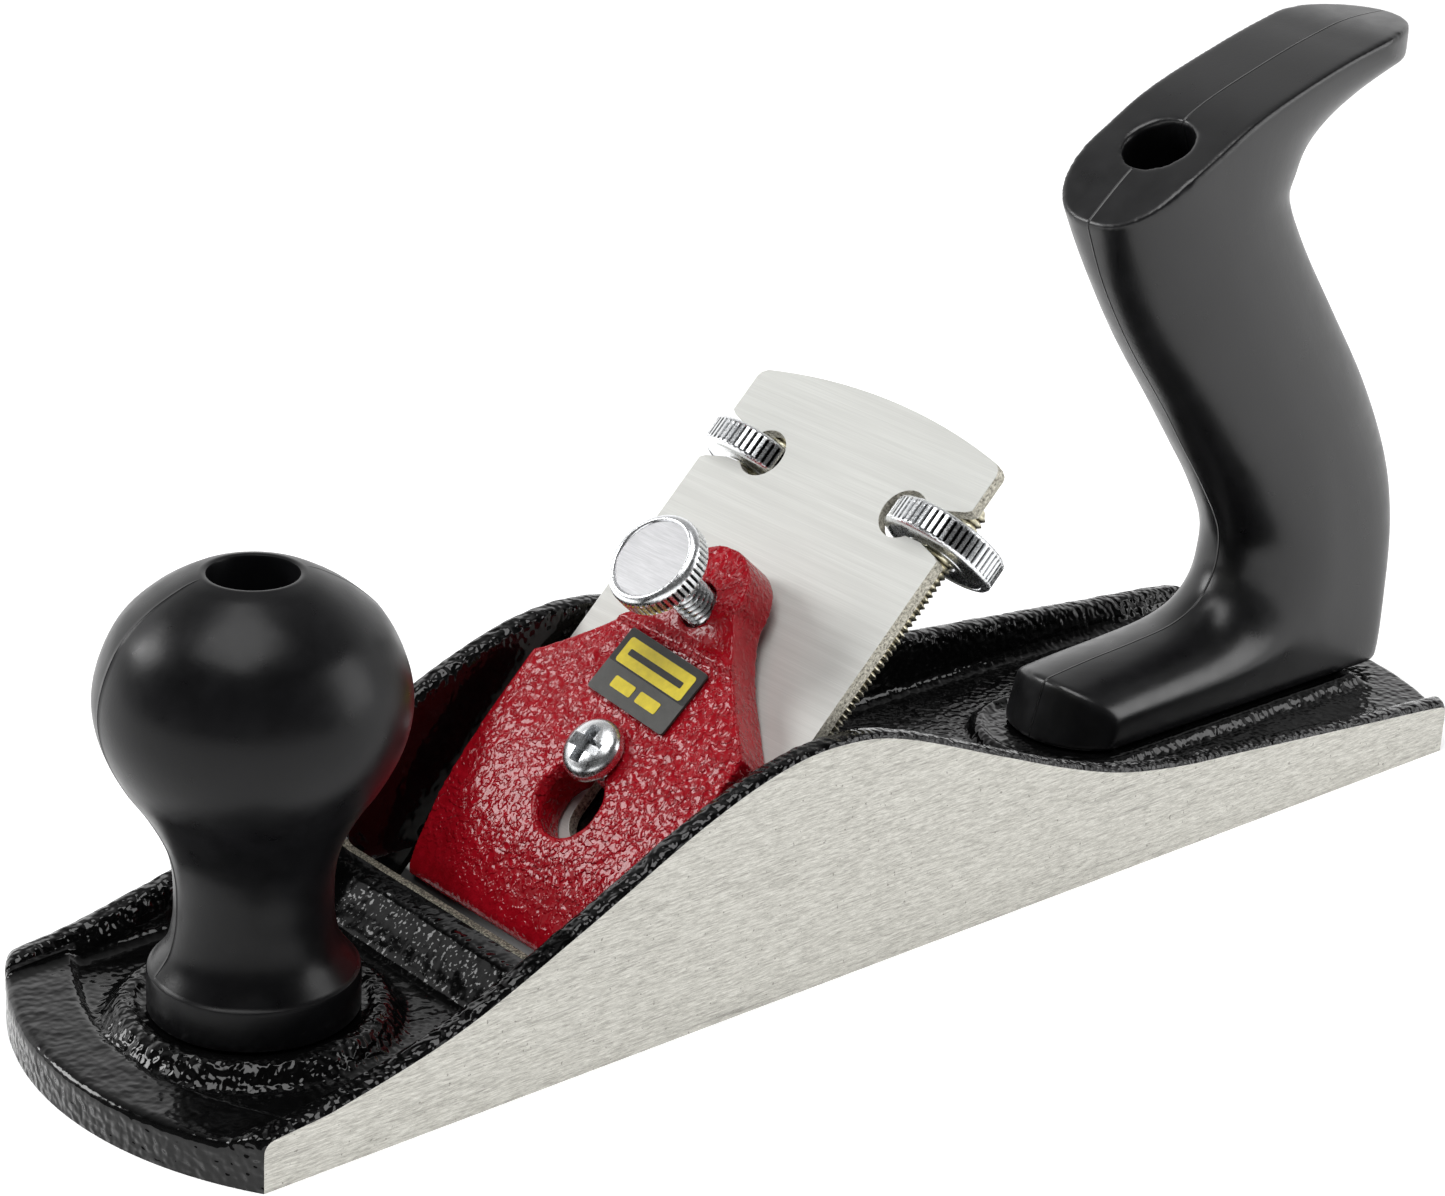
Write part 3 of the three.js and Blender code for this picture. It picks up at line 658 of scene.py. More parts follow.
def pebble_depth(at):
    """How coarse the enamel is: rough on the nose, ring, ridges and rib's edge, smooth on the floors."""
    ridge = smoothstep(3.4, 1.6, wing_top(at.x) - at.z) * smoothstep(25.8, 27.2, abs(at.y))
    nose = smoothstep(4.95, 4.4, at.z) * smoothstep(-80, -90, at.x)
    edge = RIB["edge"]
    beads = smoothstep(edge - 0.7, edge, at.x) * smoothstep(edge + 1.1, edge + 0.5, at.x)
    from_knob = math.hypot(at.x - KNOB_X, at.y)
    ring = smoothstep(21, 19.8, from_knob) * smoothstep(14.5, 15.4, from_knob)
    floor = (0.16 + 0.26 * smoothstep(0, 30, at.x)) * (1 - 0.85 * rib_slope(at))
    return floor + (1 - floor) * max(ridge, nose, beads, 0.9 * ring)


def rib_slope(at):
    """1 on the smooth slope in front of the rib's crest, 0 away from it."""
    foot = smoothstep(RIB["front"] - 2.4, RIB["front"] - 1.2, at.x)
    return foot * smoothstep(RIB["edge"], RIB["edge"] - 0.6, at.x)


def pebbly(casting):
    """Makes the coarse enamel in the mesh itself, and keeps the ground faces flat."""

    def share(at):
        if abs(at.y) > HALF_WIDTH - 0.02 or at.z < 0.05:
            return 0
        return pebble_depth(at)

    ruffled(casting, 0.11, 1.5, 1, share)
    ruffled(casting, 0.10, 4.5, 1, share)
    for vertex in casting.data.vertices:
        vertex.co.y = max(-HALF_WIDTH, min(HALF_WIDTH, vertex.co.y))


def mark_ground(casting):
    """Gives the cheeks and the sole the ground finish, and the back of the rib's crest raw iron."""
    mesh = casting.data
    for face in mesh.polygons:
        corners = [mesh.vertices[i].co for i in face.vertices]
        cheek = all(abs(at.y) > HALF_WIDTH - 0.01 for at in corners)
        sole = all(at.z < 0.01 for at in corners)
        crest = RIB["groove"] < face.center.x < RIB["back"] + 0.1 and face.center.z > RIB["crest"] - 0.6
        raw = crest and abs(face.center.y) < WALL_INNER - 0.6
        face.material_index = 1 if cheek or sole else 2 if raw else 0


def crisp_borders(obj):
    """Makes a crisp line wherever one finish meets another."""
    form = bmesh.new()
    form.from_mesh(obj.data)
    for edge in form.edges:
        if len({face.material_index for face in edge.link_faces}) > 1:
            edge.smooth = False
    form.to_mesh(obj.data)
    form.free()


def handle_bolt_place():
    """The sloping line of the handle's bolt, with z = 0 at the handle's seat."""
    (top_x, top_z), (foot_x, foot_z) = HANDLE_BOLT_TOP, HANDLE_BOLT_FOOT
    tilt = math.atan2(foot_x - top_x, top_z - foot_z)
    return Matrix.Translation((foot_x, 0, foot_z)) @ Matrix.Rotation(-tilt, 4, "Y")


# ---------------------------------------------------------------- frog and its screws


def frog():
    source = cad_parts["frog"]
    mesh = source.data.copy()
    mesh.transform(Matrix.Scale(1 / MM, 4))
    obj = bpy.data.objects.new("frog_casting", mesh)
    bpy.context.scene.collection.objects.link(obj)
    remeshed(obj, 0.5, 4)
    ruffled(obj, 0.1, 1.8)
    set_attribute(obj, "pebble", lambda at: 0.6)
    hand_over(obj, "plane_body", [BLACK_ENAMEL], ["frog"], sharp=60)


def pan_screw(name, shank, tip, seat, head, height, cross=None):
    """A pan-head screw on Z with a cross recess; the shank is threaded."""
    dome = [
        (head - 0.35, seat), (head, seat + 0.3), (head, seat + height * 0.34),
        (head * 0.97, seat + height * 0.5), (head * 0.88, seat + height * 0.7),
        (head * 0.7, seat + height * 0.87), (head * 0.45, seat + height * 0.97), (0, seat + height),
    ]
    profile = [(0, tip), (shank - 0.6, tip), (shank, tip + 0.6)]
    profile += dense([(shank, tip + 0.7), (shank, seat - 0.2)], 0.17)
    profile += [(shank, seat)] + [tuple(p) for p in catmull_rom(dome, 28)]
    screw = lathe(name, profile, 48, reach=lambda r, z, a: threaded(shank, r, z, a, seat - 0.3))
    reach = cross or head * 0.52
    boolean(screw, cross_recess(seat + height, reach, height * 0.72))

    # Thread roots dark (dirt and painted shade); painted shade on the floor of the cross recess and on the
    # head's underside next to the shank.
    def grime_and_shade(at):
        from_axis = math.hypot(at.x, at.y)
        if at.z < seat:
            return smoothstep(shank - 0.15, shank - 0.5, from_axis)
        return 0.8 if from_axis < head * 0.7 and at.z < seat + height * 0.5 else 0

    set_attribute(screw, "groove", grime_and_shade)
    return screw


def threaded(shank, radius, z, angle, stop, pitch=1.0, depth=0.45):
    if abs(radius - shank) > 1e-6 or z > stop:
        return radius
    turn = (z / pitch - angle / math.tau) % 1
    return radius - depth * abs(2 * turn - 1)


def darken_below(obj, radius, top, low=0.15, high=0.5):
    """Marks the roots of a thread or knurl, below z = top, where the zinc is darkened: dirt, and painted
    shade in the hollows.
    """
    set_attribute(
        obj, "groove",
        lambda at: smoothstep(radius - low, radius - high, math.hypot(at.x, at.y)) if at.z < top else 0,
    )
    return obj


def cross_recess(top, reach, depth):
    """Two tapered bars that cross, standing a little proud of the head."""
    bars = []
    for turn in (0, math.pi / 2):
        wide, low = 0.95, top - depth
        bar = build(
            "bar",
            [(sx * reach * s, sy * wide * s, z) for z, s in ((top + 1, 1.25), (low, 0.62))
             for sx, sy in ((-1, -1), (1, -1), (1, 1), (-1, 1))],
            [[0, 1, 2, 3], [4, 5, 6, 7], [0, 1, 5, 4], [1, 2, 6, 5], [2, 3, 7, 6], [3, 0, 4, 7]],
        )
        bars.append(placed(bar, Matrix.Rotation(turn, 4, "Z")))
    return boolean(bars[0], bars[1], "UNION")


def washer(name, inner, outer, low, high):
    edge = 0.2
    profile = [
        (inner + edge, low), (outer - edge, low), (outer, low + edge), (outer, high - edge),
        (outer - edge, high), (inner + edge, high), (inner, high - edge), (inner, low + edge),
    ]
    return lathe(name, profile, 64, closed=True)


def bolt_down(part, place, shank, tip, ring, head, side=""):
    """A washer and the screw on it; ring is (outer radius, low, high) and head is (radius, height)."""
    outer, low, high = ring
    plate = washer(f"{part}_ring{side}", shank + RUN, outer, low, high)
    hand_over(plate, "plane_body", [BRIGHT_ZINC], [f"{part}_washer{side}"], place)
    screw = pan_screw(f"{part}_bolt{side}", shank, tip, high + RUN, *head)
    hand_over(screw, "plane_body", [BRIGHT_ZINC], [f"{part}_screw{side}"], place)


def frog_fasteners():
    seat = FROG_SCREWS["seat"]
    for side, way in (("_left", 1), ("_right", -1)):
        place = Matrix.Translation((FROG_SCREWS["x"], way * FROG_SCREWS["y"], 0))
        bolt_down("frog", place, M5, 1.6, (5, seat, seat + 1), (4.6, 2.8), side)


# ---------------------------------------------------------------- iron, studs and nuts


def notch(side):
    """Outline of a nut's notch from its lower jaw round to its upper jaw."""
    neck, radius = 2.7, 3.8
    centre = NUT["y"] - NUT["radius"] + radius + 0.2
    edge = IRON["half"]
    start = math.asin(neck / radius)
    points = [(-neck - 1.6, edge), (-neck - 1.1, edge - 0.8), (-neck, edge - 4.6)]
    for i in range(25):
        angle = start + (math.tau - 2 * start) * i / 24
        points.append((-radius * math.sin(angle), centre + radius * math.cos(angle)))
    points += [(neck, edge - 4.6), (neck + 1.1, edge - 0.8), (neck + 1.6, edge)]
    return [(NUT["u"] + u, side * y) for u, y in points]


def iron():
    half, top, low = IRON["half"], IRON["length"], IRON["rest"]
    sweep = math.degrees(math.asin((half - 1.2) / IRON["arc"]))
    outline = [(low, -half)] + notch(-1) + [(top - 4.2, -half), (top - 3.4, -half + 0.3)]
    outline += arc((top - IRON["arc"], 0), IRON["arc"], -sweep, sweep, 40)
    outline += [(top - 3.4, half - 0.3), (top - 4.2, half)] + notch(1)[::-1] + [(low, half)]
    blade = prism("iron", outline, -IRON["thick"], 0)
    for vertex in blade.data.vertices:
        if vertex.co.z < -1 and vertex.co.x < low + 0.1:
            vertex.co.x += IRON["bevel"]
    wide = SLOT["half"]
    slot = arc((SLOT["start"] + wide, 0), wide, 90, 270, 24)
    slot += arc((SLOT["end"] - wide, 0), wide, -90, 90, 24)
    boolean(blade, prism("slot", slot, -4, 2))
    form = bmesh.new()
    form.from_mesh(blade.data)
    bmesh.ops.dissolve_limit(form, angle_limit=0.01, verts=form.verts, edges=form.edges)
    rims = [
        edge for edge in form.edges
        if edge.calc_face_angle(0) > 0.5 and min(v.co.x for v in edge.verts) > low + IRON["bevel"] + 0.1
    ]
    bmesh.ops.bevel(
        form, geom=rims, offset=0.14, segments=2, profile=0.5, affect="EDGES", clamp_overlap=True,
    )
    form.to_mesh(blade.data)
    form.free()
    mark_rough_edges(blade)
    hand_over(blade, "iron", [BLADE_STEEL], ["blade"], BED, sharp=5)


def mark_rough_edges(blade):
    """The sides are left rough from blanking; the faces are ground."""
    mesh = blade.data
    layer = mesh.attributes.new("rough_edge", "FLOAT", "CORNER")
    values = []
    for face in mesh.polygons:
        side = abs(face.normal.z) < 0.4 or face.center.x < 1
        values += [1.0 if side else 0.0] * len(face.vertices)
    layer.data.foreach_set("value", values)


def along_bed(y, h):
    """Turns a piece drawn on Z so that it lies along the bed at this y and h."""
    return BED @ Matrix.Translation((0, y, h)) @ Matrix.Rotation(math.pi / 2, 4, "Y")


def studs():
    radius, start, end = STUD["radius"], STUD["start"], STUD["end"]
    profile = [(0, start), (radius - 0.5, start), (radius - 0.5, start + 0.2)]
    profile += dense([(radius, start + 0.3), (radius, end - 0.7)], 0.14)
    profile += [(radius - 0.7, end), (0, end)]

    def reach(r, z, angle):
        return threaded(radius, r, z, angle, end, depth=0.55)

    for side, y in (("left", NUT["y"]), ("right", -NUT["y"])):
        stud = lathe(f"stud_{side}", profile, 40, reach=reach)
        darken_below(stud, radius, end - 1)
        node = f"adjuster_stud_{side}"
        place = along_bed(y, NUT["h"])
        hand_over(stud, "plane_body", [YELLOW_ZINC], [node], place, sharp=50)


def fluted(count, depth, low, high, outer, fade=0.5):
    """A reach function for straight flutes between z = low and high, with rounded ends."""

    def reach(radius, z, angle):
        if radius < outer - 0.05 or not low < z < high:
            return radius
        window = min(1, (z - low) / fade, (high - z) / fade)
        window = math.sqrt(max(0, 1 - (1 - window) ** 2))
        across = abs(math.sin(count * angle / 2)) / 0.6
        return radius - depth * window * math.sqrt(max(0, 1 - across * across))

    return reach


def nut(name):
    radius, half, rim, flutes = NUT["radius"], NUT["thick"] / 2, 0.55, 54
    side = [(3.1, half - 0.25), (3.35, half), (4.4, half), (4.5, half - 0.12), (7.6, half - 0.12)]
    side += [(7.7, half), (radius - 0.75, half), (radius - 0.25, half - 0.2)]
    lower = [(r, -z) for r, z in side[1:]]
    profile = lower + dense([(radius, -half + rim), (radius, half - rim)], 0.18) + side[::-1]
    profile += [(3.1, -half + 0.25)]
    reach = fluted(flutes, 0.5, -half + rim, half - rim, radius)
    wheel = lathe(name, profile, flutes * 8, closed=True, reach=reach)
    # The flute bottoms are darkened by the zinc material: dirt, and painted shade.
    set_attribute(wheel, "groove", lambda at: knurl_root(at, radius, half - rim))
    return wheel


def knurl_root(at, radius, reach):
    """1 in the bottom of a flute, 0 on the lands and the ends."""
    return smoothstep(radius - 0.12, radius - 0.3, math.hypot(at.x, at.y)) if abs(at.z) < reach else 0


def nuts():
    for side, y in (("left", NUT["y"]), ("right", -NUT["y"])):
        place = along_bed(y, NUT["h"]) @ Matrix.Translation((0, 0, NUT["u"]))
        hand_over(nut(f"nut_wheel_{side}"), f"nut_{side}", [BRIGHT_ZINC],
                  [f"adjuster_nut_{side}"], place, sharp=40)


# ---------------------------------------------------------------- lever cap


CAP_FLANK = [(CAP["shoulder"] + 1, 22.3), (45.8, 18), (50.5, 13.3), (54.5, 10.2), (58.2, 8.2)]
DRAFT = 1.0                     # the cap's curved sides lean in by this much from foot to top


def cap_outline(draft):
    flank = [(u, y - draft) for u, y in catmull_rom(CAP_FLANK, 24)]
    radius = CAP["end_radius"] - draft / 2
    outline = [(CAP["toe"], -CAP["toe_half"]), (CAP["shoulder"], -CAP["half"])]
    outline += [(u, -y) for u, y in flank]
    outline += arc((CAP["end"] - CAP["end_radius"], 0), radius, -84, 84, 32)
    return outline + flank[::-1] + [(CAP["shoulder"], CAP["half"]), (CAP["toe"], CAP["toe_half"])]


def cap_side():
    """The cap seen from the side, as (u, h): curved toe, crease, hollow ramp and raised end."""
    rise = [(CAP["toe"], 1.3), (6.4, 2.5), (10, 3.9), (17, 5.7), (24, 6.5), (30, CAP["top"])]
    boss = [
        (50.2, CAP["top"]), (50.7, 7.15), (51.2, 7.4), (51.8, 7.35), (52.6, 7.1), (54, 7.15), (55.4, 7.5),
        (56.6, 8.0), (57.6, 8.4), (58.6, 8.6), (62, 8.65), (66, 8.55), (66.8, 8.2), (67.4, 7.6),
    ]
    foot = [(67.6, 2.2), (60, 2.2), (46, RUN), (CAP["toe"], RUN)]
    return [tuple(p) for p in catmull_rom(rise, 30)] + boss + foot


def lever_cap():
    cap = prism("cap_body", cap_side(), -CAP["half"] - 1, CAP["half"] + 1, across=True)
    boolean(cap, prism("cap plan", cap_outline(0), 0, 9, top_outline=cap_outline(DRAFT)), "INTERSECT")
    meet = math.degrees(math.asin(KEYHOLE["slot"] / KEYHOLE["big"]))
    keyhole = arc((KEYHOLE["at"], 0), KEYHOLE["big"], meet, 360 - meet, 48)
    keyhole += arc((CAP_SCREW_AT, 0), KEYHOLE["slot"], -90, 90, 24)
    boolean(cap, prism("keyhole", keyhole, -2, 12))
    big = KEYHOLE["big"]
    chamfer = lathe("chamfer", [(0, 5.3), (big, 5.3), (big + 1.0, 6.9), (big + 1.0, 9), (0, 9)], 48)
    boolean(cap, placed(chamfer, Matrix.Translation((KEYHOLE["at"], 0, 0))))
    boolean(cap, placed(rod("thumb hole", M6 + RUN, -2, 12), Matrix.Translation((THUMB_AT, 0, 0))))
    remeshed(cap, 0.28, 3)
    ruffled(cap, 0.08, 1.6, 1, hammered)
    set_attribute(cap, "pebble", lambda at: 0.15 + 0.85 * hammered(at))
    hand_over(cap, "cap", [RED_ENAMEL], ["lever_cap"], BED, sharp=60)


def hammered(at):
    """Where the cap is pebbled: less near the toe, on the sides, on the left and in the ramp's hollow."""
    toe = smoothstep(6, 15, at.x)
    ramp = smoothstep(51.8, 52.6, at.x) * smoothstep(57.8, 56.6, at.x)
    side = smoothstep(6.3, 5.6, at.z) * smoothstep(39, 42, at.x)
    left = smoothstep(-4, 16, at.y)
    return (0.15 + 0.85 * toe) * (1 - 0.85 * ramp) * (1 - 0.6 * side) * (1 - 0.35 * left)


LABEL_PLACE = (
    BED
    @ Matrix.Translation((CAP_LABEL["u"], CAP_LABEL["y"], CAP["top"] + RUN))
    @ Matrix.Rotation(math.radians(CAP_LABEL["turn"]), 4, "Z")
)


def rounded_box(name, half_u, half_y, low, high, radius):
    outline = []
    for su, sy, start in ((1, 1, 0), (-1, 1, 90), (-1, -1, 180), (1, -1, 270)):
        centre = (su * (half_u - radius), sy * (half_y - radius))
        outline += arc(centre, radius, start, start + 90, 8)
    return prism(name, outline, low, high)


def label():
    """A plain two-tone plate: a yellow panel on black above two yellow bars on grey, with no lettering."""
    half_u, half_y = CAP_LABEL["half_u"], CAP_LABEL["half_y"]
    layers = (
        ("label_plate", 0, (half_u, half_y, 0.0, 0.35, 0.5), LABEL_GREY, ["cap_label"]),
        ("label_border", 2.42, (2.75, half_y - 0.05, 0.34, 0.37, 0.4), LABEL_BLACK, ()),
        ("label_panel", 2.0, (2.05, half_y - 1.2, 0.36, 0.42, 0.5), LABEL_YELLOW, ()),
        ("label_stripe", 2.0, (0.5, half_y - 2.6, 0.41, 0.46, 0.2), LABEL_BLACK, ()),
    )
    for name, at, shape, finish, nodes in layers:
        layer = placed(rounded_box(name, *shape), Matrix.Translation((at, 0, 0)))
        hand_over(layer, "cap", [finish], nodes, LABEL_PLACE)
    bars = []
    for y in (-2.9, 2.9):
        bar = rounded_box("label_bars", 0.9, 2.3, 0.34, 0.42, 0.3)
        bars.append(placed(bar, Matrix.Translation((-2.6, y, 0))))
    hand_over(joined(bars), "cap", [LABEL_YELLOW], (), LABEL_PLACE)


def cap_screw():
    seat = CAP["top"] + 0.3
    screw = pan_screw("cap_bolt", M6, -10.2, seat, 4.7, 3.2, cross=2.9)
    place = BED @ Matrix.Translation((CAP_SCREW_AT, 0, 0))
    hand_over(screw, "cap_screw", [BRIGHT_ZINC], ["lever_cap_screw"], place)


def thumbscrew():
    low, high, radius, face = (THUMB_HEAD[key] for key in ("low", "high", "radius", "face"))
    crest = M6 - 0.15
    profile = [(0, 0.3), (2.3, 0.3), (crest, 1.0)] + dense([(crest, 1.1), (crest, low - 0.5)], 0.14)
    profile += [(3.4, low - 0.1), (3.6, low), (radius - 0.5, low), (radius - 0.1, low + 0.2)]
    profile += [(radius, low + 0.45)]
    profile += dense([(radius, low + 0.45), (radius, high - 1.25)], 0.2)[1:]
    profile += [(radius - 0.05, high - 0.95), (radius - 0.2, high - 0.6), (radius - 0.45, high - 0.3)]
    profile += [(radius - 0.8, high - 0.08), (radius - 1.05, high), (face + 0.2, high - 0.05)]
    profile += [(face + 0.06, high - 0.2), (face, high - 0.35), (0, high - 0.35)]
    count = 50
    flutes = fluted(count, 0.45, low + 0.2, high - 1.2, radius, 0.4)

    def reach(r, z, angle):
        return threaded(crest, r, z, angle, low - 0.5) if z < low - 0.3 else flutes(r, z, angle)

    # Thread and flute roots darkened: dirt, and painted shade.
    def grime_and_shade(at):
        from_axis = math.hypot(at.x, at.y)
        if at.z < low - 0.4:
            return smoothstep(crest - 0.15, crest - 0.45, from_axis)
        return smoothstep(radius - 0.15, radius - 0.3, from_axis) if low + 0.25 < at.z < high - 1.25 else 0

    screw = lathe("thumb_wheel", profile, count * 8, reach=reach)
    set_attribute(screw, "groove", grime_and_shade)
    for part in screw.data.polygons:
        flat = part.center.z > high - 0.37 and math.hypot(*part.center.xy) < face
        part.material_index = 1 if flat else 0
    place = BED @ Matrix.Translation((THUMB_AT, 0, 0))
    hand_over(screw, "thumbscrew", [BRIGHT_ZINC, BRUSHED_ZINC], ["cap_thumbscrew"], place)


# ---------------------------------------------------------------- knob

KNOB_BALL = [
    (13.4, 13), (11.4, 16), (10.5, 19.5), (10.3, 23), (10.5, 27), (11.5, 31), (13.8, 35.5), (16.8, 40),
    (19.2, 45), (20.15, 50), (19.4, 55), (17, 60.2), (13.2, 64), (9, 66.6), (6.6, 67.5),
]
KNOB_BORE = dict(radius=5.8, floor=45)
PARTING = [math.radians(165), math.radians(-15)]    # where the mould's halves met


def knob():
    foot = [(3.3, KNOB_SEAT), (13.5, KNOB_SEAT), (13.9, KNOB_SEAT + 0.3), (13.9, 12.3), (13.75, 12.8)]
    bore, low = KNOB_BORE["radius"], KNOB_BORE["floor"]
    mouth = [(6.2, 67.5), (5.9, 67.35), (bore, 67.0), (bore, low), (3.3, low)]
    profile = foot + [tuple(p) for p in catmull_rom(KNOB_BALL, 90)] + mouth
    angles = [math.tau * i / 120 for i in range(120)]
    for middle in PARTING:
        angles += [(middle + math.radians(step)) % math.tau for step in (-0.7, -0.35, 0.001, 0.35, 0.7)]

    def reach(radius, z, angle):
        if not 13 < z < 67.3 or radius < 6:
            return radius
        away = min(abs(math.remainder(angle - middle, math.tau)) for middle in PARTING)
        return radius + 0.09 * max(0, 1 - math.degrees(away) / 0.7)

    obj = lathe("knob_body", profile, sorted(angles), closed=True, reach=reach)
    place = Matrix.Translation((KNOB_X, 0, 0))
    hand_over(obj, "plane_body", [KNOB_PLASTIC], ["knob"], place, sharp=40)
    bolt_down("knob", place, M6, 1.7, (5.4, low + RUN, low + 1.5), (5, 3.4))


# ---------------------------------------------------------------- handle

# Sections across the handle from its toe to the tip of the horn: a point on the front or top, a
# point on the back or underside, the half width, and how square the front and back halves are.
HANDLE_SECTIONS = [
    (44, 16, 44, 5.5, 10.9, 2, 9), (60, 17.6, 60, 5.5, 10.9, 2, 9), (70.8, 18.3, 74, 5.5, 10.9, 2, 9),
    (79.5, 19.2, 90, 5.5, 10.9, 2, 9), (84.8, 21.3, 103, 5.5, 10.9, 2, 9), (88, 25, 114, 5.5, 11, 2.1, 9),
    (89.2, 29.5, 120.4, 6, 11.1, 2.2, 8), (88.3, 34.6, 122.1, 18, 11.2, 2, 6),
    (83.6, 42.1, 122.4, 31, 11.3, 2, 4.6), (78.1, 49.5, 120.3, 44.9, 11.5, 2.1, 2.8),
    (72.5, 57.2, 114.1, 57.1, 11.5, 2.2, 2.4), (63.6, 68.5, 105.4, 69.3, 11.5, 2.1, 2.3),
    (56.6, 79.3, 97.1, 80.5, 11.5, 2.1, 2.3), (52.1, 89, 92, 89.2, 11.5, 2.5, 2.3),
    (47.6, 100, 92.8, 92.6, 11.5, 2.8, 2.4), (48, 113, 94.6, 96.4, 11.5, 2.6, 2.5),
    (63, 123, 97.5, 99.8, 11.5, 2.4, 2.7), (83, 127, 101.7, 103.1, 11.5, 2.2, 3),
    (100, 125, 107.2, 106.4, 11.5, 2.2, 3.4), (114, 123, 114, 109.6, 11.5, 2.2, 3.8),
    (124, 122, 124, 114, 11.5, 2.2, 4),
]
HANDLE_TOP = [
    (51.8, 89.6), (59.5, 96), (66, 99.9), (75, 104.6), (87, 108.8), (98, 112), (108, 113.9), (125, 114),
]
HANDLE_TOE = dict(front=48.7, lean=0.3, round=10.8, half=11.6)
HORN_TIP = dict(end=115.8, round=15.8, half=11.6)
HANDLE_BORE = dict(radius=5.5, depth=26)


def section_ring(section, count):
    """One section as a closed ring, its front and back halves each a superellipse."""
    front, back = np.array(section[0:2]), np.array(section[2:4])
    half, square_front, square_back = section[4:7]
    centre, reach = (front + back) / 2, (back - front) / 2
    ring = []
    for i in range(count):
        c, s = math.cos(math.tau * i / count), math.sin(math.tau * i / count)
        power = 2 / (square_front if c < 0 else square_back)
        along = math.copysign(abs(c) ** power, c)
        x, z = centre + reach * along
        ring.append((x, half * math.copysign(abs(s) ** power, s), z))
    return ring


def loft(name, rings):
    """Rings of equal length joined into one closed skin."""
    count = len(rings[0])
    numbers = [list(range(i * count, (i + 1) * count)) for i in range(len(rings))]
    faces = [numbers[0], numbers[-1]]
    for low, high in zip(numbers, numbers[1:]):
        faces += bridge(low, high)
    return build(name, [point for ring in rings for point in ring], faces)


def round_end_ring(z, end, rounding, half, way):
    """A ring at height z: square at one end, and a half ellipse that comes to `end` at the other."""
    points = []
    for turn in np.radians(np.linspace(-90, 90, 32)):
        points.append((end + way * rounding * (math.cos(turn) - 1), way * half * math.sin(turn), z))
    far = end - way * (rounding + 30)
    return points + [(far, way * half, z), (far, -way * half, z)]


def block(name, low, high):
    corners = [(low[0], low[1]), (high[0], low[1]), (high[0], high[1]), (low[0], high[1])]
    return prism(name, corners, low[2], high[2])


def handle():
    path = catmull_rom(HANDLE_SECTIONS, 120)
    grip = loft("grip", [section_ring(section, 72) for section in path])
    top = [tuple(p) for p in catmull_rom(HANDLE_TOP, 60)][::-1]
    keep = [(42, HANDLE_SEAT), (125, HANDLE_SEAT), (125, 112)] + top + [(42, 81)]
    boolean(grip, prism("keep", keep, -20, 20, across=True), "INTERSECT")
    toe, low = HANDLE_TOE, 4
    rings = [
        round_end_ring(z, toe["front"] + toe["lean"] * (z - HANDLE_SEAT), toe["round"], toe["half"], -1)
        for z in (low, 20)
    ]
    waste = block("toe waste", (toe["front"] - 12, -20, low + 1), (toe["front"] + 8, 20, 19))
    boolean(grip, boolean(waste, loft("toe form", rings)))
    tip = HORN_TIP
    rings = [round_end_ring(z, tip["end"], tip["round"], tip["half"], 1) for z in (90, 130)]
    waste = block("horn waste", (tip["end"] - 15, -20, 97), (tip["end"] + 15, 20, 127))
    boolean(grip, boolean(waste, loft("horn form", rings)))
    (top_x, top_z), (foot_x, foot_z) = HANDLE_BOLT_TOP, HANDLE_BOLT_FOOT
    length = math.hypot(foot_x - top_x, top_z - foot_z)
    floor = length - HANDLE_BORE["depth"]
    bore = [(0, -6), (M6 + RUN, -6), (M6 + RUN, floor), (HANDLE_BORE["radius"], floor)]
    bore += [(HANDLE_BORE["radius"], length + 12), (0, length + 12)]
    boolean(grip, placed(lathe("bore", bore, 48), handle_bolt_place()))
    remeshed(grip, 0.36, 22)
    for vertex in grip.data.vertices:
        vertex.co.z = max(vertex.co.z, HANDLE_SEAT)
    hand_over(grip, "plane_body", [HANDLE_PLASTIC], ["handle"], sharp=60)
    bolt_down("handle", handle_bolt_place(), M6, -5, (5.1, floor + RUN, floor + 1.5), (4.7, 3.4))


# ---------------------------------------------------------------- stage, lights and camera

BACKDROP = (0.67, 0.74, 0)      # the way to the bright side of the studio, behind the plane


def stage():
    size = 15.0
    corners = [(-size, -size, 0), (size, -size, 0), (size, size, 0), (-size, size, 0)]
    floor = build("floor", corners, [[0, 1, 2, 3]])
    paper = Nodes("paper", Roughness=0.9, Specular_IOR_Level=0.1, Emission_Strength=0.45)
    paper.shader.inputs["Emission Color"].default_value = (1, 1, 1, 1)
    paper.colour(paper.ramp(paper.noise(3.0, 2), (0.3, (0.88, 0.88, 0.88)), (0.7, (0.9, 0.9, 0.9))))
    floor.data.materials.append(paper.material)


def area_light(name, at, size, radiance):
    """A soft box aimed at the plane; radiance is how bright its face looks."""
    data = bpy.data.lights.new(name, "AREA")
    data.shape = "RECTANGLE"
    data.size, data.size_y = size
    data.energy = radiance * math.pi * size[0] * size[1]
    light = bpy.data.objects.new(name, data)
    light.location = at
    light.rotation_euler = (Vector((0, 0, 0.04)) - Vector(at)).to_track_quat("-Z", "Y").to_euler()
    bpy.context.scene.collection.objects.link(light)


def fade(tree, source, start, end, dim, bright):
    """Dim where source is below start, bright where it is past end."""
    node = tree.nodes.new("ShaderNodeMapRange")
    for socket, value in zip(("From Min", "From Max", "To Min", "To Max"), (start, end, dim, bright)):
        node.inputs[socket].default_value = value
    tree.links.new(source, node.inputs["Value"])
    return node.outputs[0]


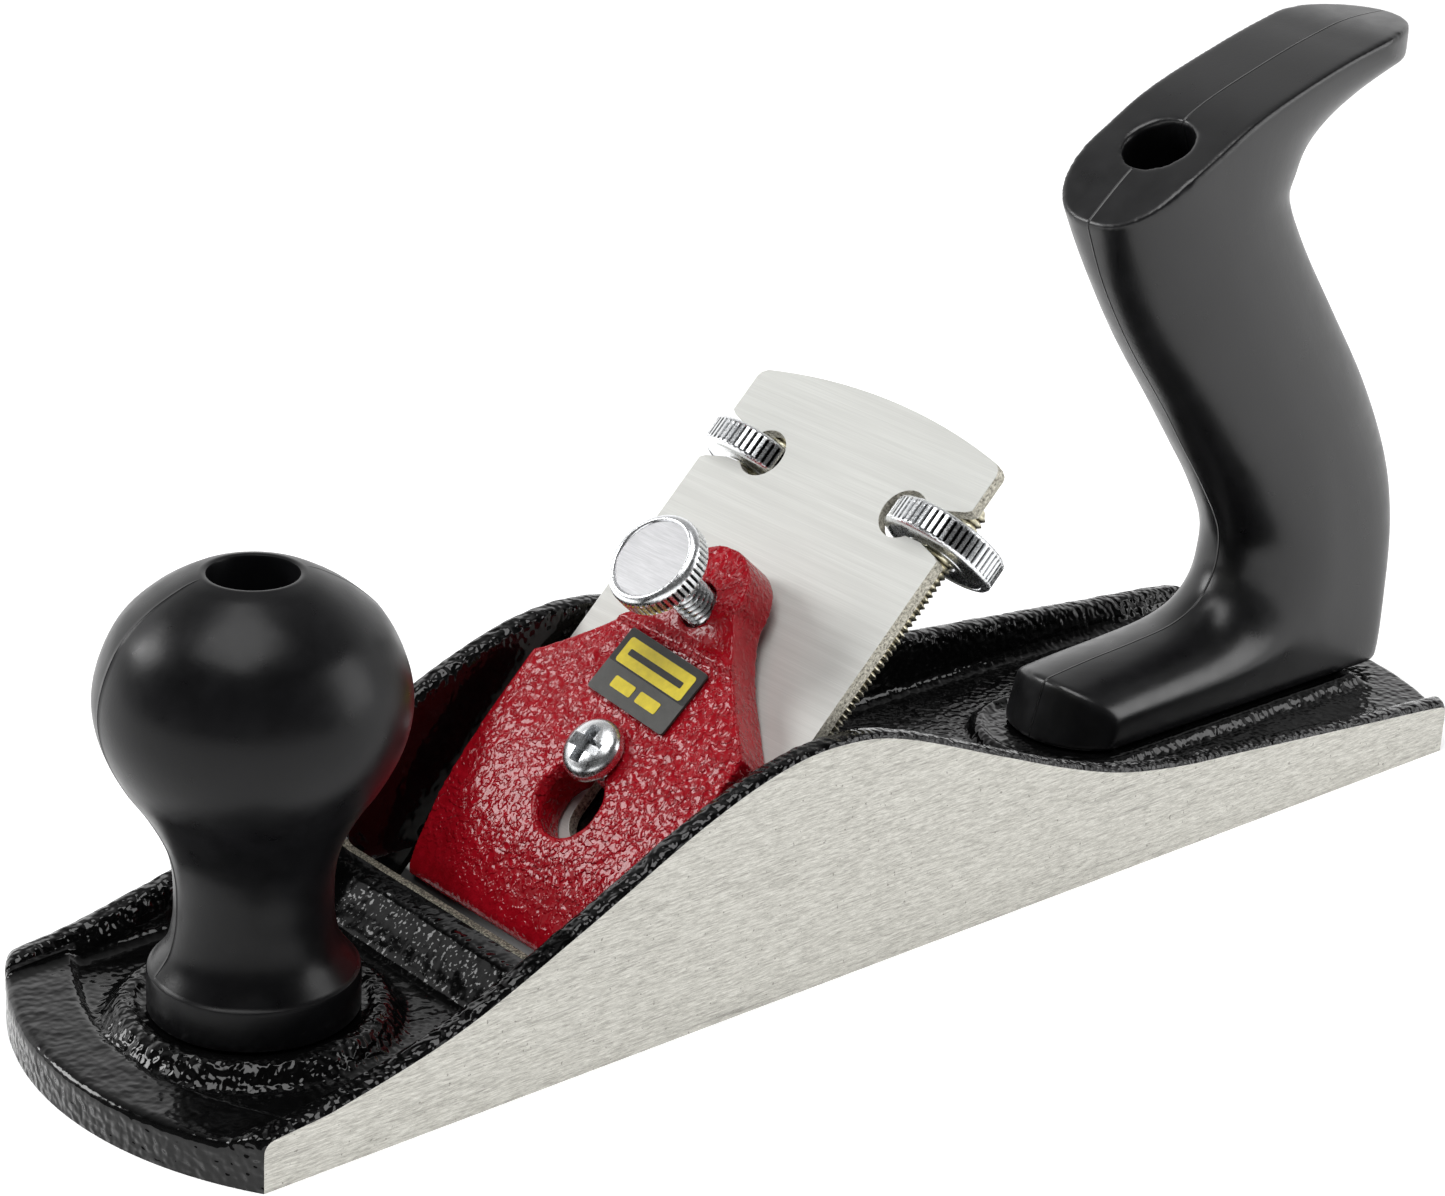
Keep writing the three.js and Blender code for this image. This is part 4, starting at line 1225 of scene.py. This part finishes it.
def lights():
    """Three soft boxes, and a studio that is bright behind the plane and dim in front and overhead."""
    area_light("key", (-0.73, 0.85, 0.6), (0.42, 0.42), 10)
    area_light("overhead", (-0.3, -0.05, 1.15), (0.8, 0.8), 4.5)
    area_light("right window", (0.75, -0.75, 0.42), (0.6, 0.7), 3.5)
    world = bpy.data.worlds.new("studio")
    world.use_nodes = True
    tree = world.node_tree
    way = tree.nodes.new("ShaderNodeTexCoord").outputs["Generated"]
    toward = tree.nodes.new("ShaderNodeVectorMath")
    toward.operation = "DOT_PRODUCT"
    toward.inputs[1].default_value = BACKDROP
    tree.links.new(way, toward.inputs[0])
    height = tree.nodes.new("ShaderNodeSeparateXYZ")
    tree.links.new(way, height.inputs[0])
    product = tree.nodes.new("ShaderNodeMath")
    product.operation = "MULTIPLY"
    tree.links.new(fade(tree, toward.outputs["Value"], -0.1, 0.65, 0.1, 1.15), product.inputs[0])
    tree.links.new(fade(tree, height.outputs["Z"], 0.62, 0.38, 0.35, 1.0), product.inputs[1])
    tree.links.new(product.outputs[0], tree.nodes["Background"].inputs["Strength"])
    tree.nodes["Background"].inputs["Color"].default_value = (1, 1, 1, 1)
    bpy.context.scene.world = world
    bpy.context.scene.view_settings.view_transform = "Standard"


def camera():
    """The viewpoint: above and ahead of the toe, on the right cheek's side."""
    yaw, pitch, roll = math.radians(42.195), math.radians(-22.476), math.radians(3.083)
    forward = Vector((math.sin(yaw) * math.cos(pitch), math.cos(yaw) * math.cos(pitch), math.sin(pitch)))
    level = Vector((math.cos(yaw), -math.sin(yaw), 0))
    upright = level.cross(forward)
    right = math.cos(roll) * level + math.sin(roll) * upright
    up = -math.sin(roll) * level + math.cos(roll) * upright
    data = bpy.data.cameras.new("camera")
    data.sensor_width = 36
    data.lens = 90.6
    data.shift_x = -0.0163
    data.shift_y = 0.0111
    data.clip_start = 0.01
    view = bpy.data.objects.new("camera", data)
    turn = Matrix((right, up, -forward)).transposed().to_4x4()
    view.matrix_world = Matrix.Translation((-0.32887, -0.35030, 0.23802)) @ turn
    bpy.context.scene.collection.objects.link(view)
    bpy.context.scene.camera = view


camera()
stage()
lights()
body_casting()
frog()
frog_fasteners()
iron()
studs()
nuts()
lever_cap()
label()
cap_screw()
thumbscrew()
knob()
handle()
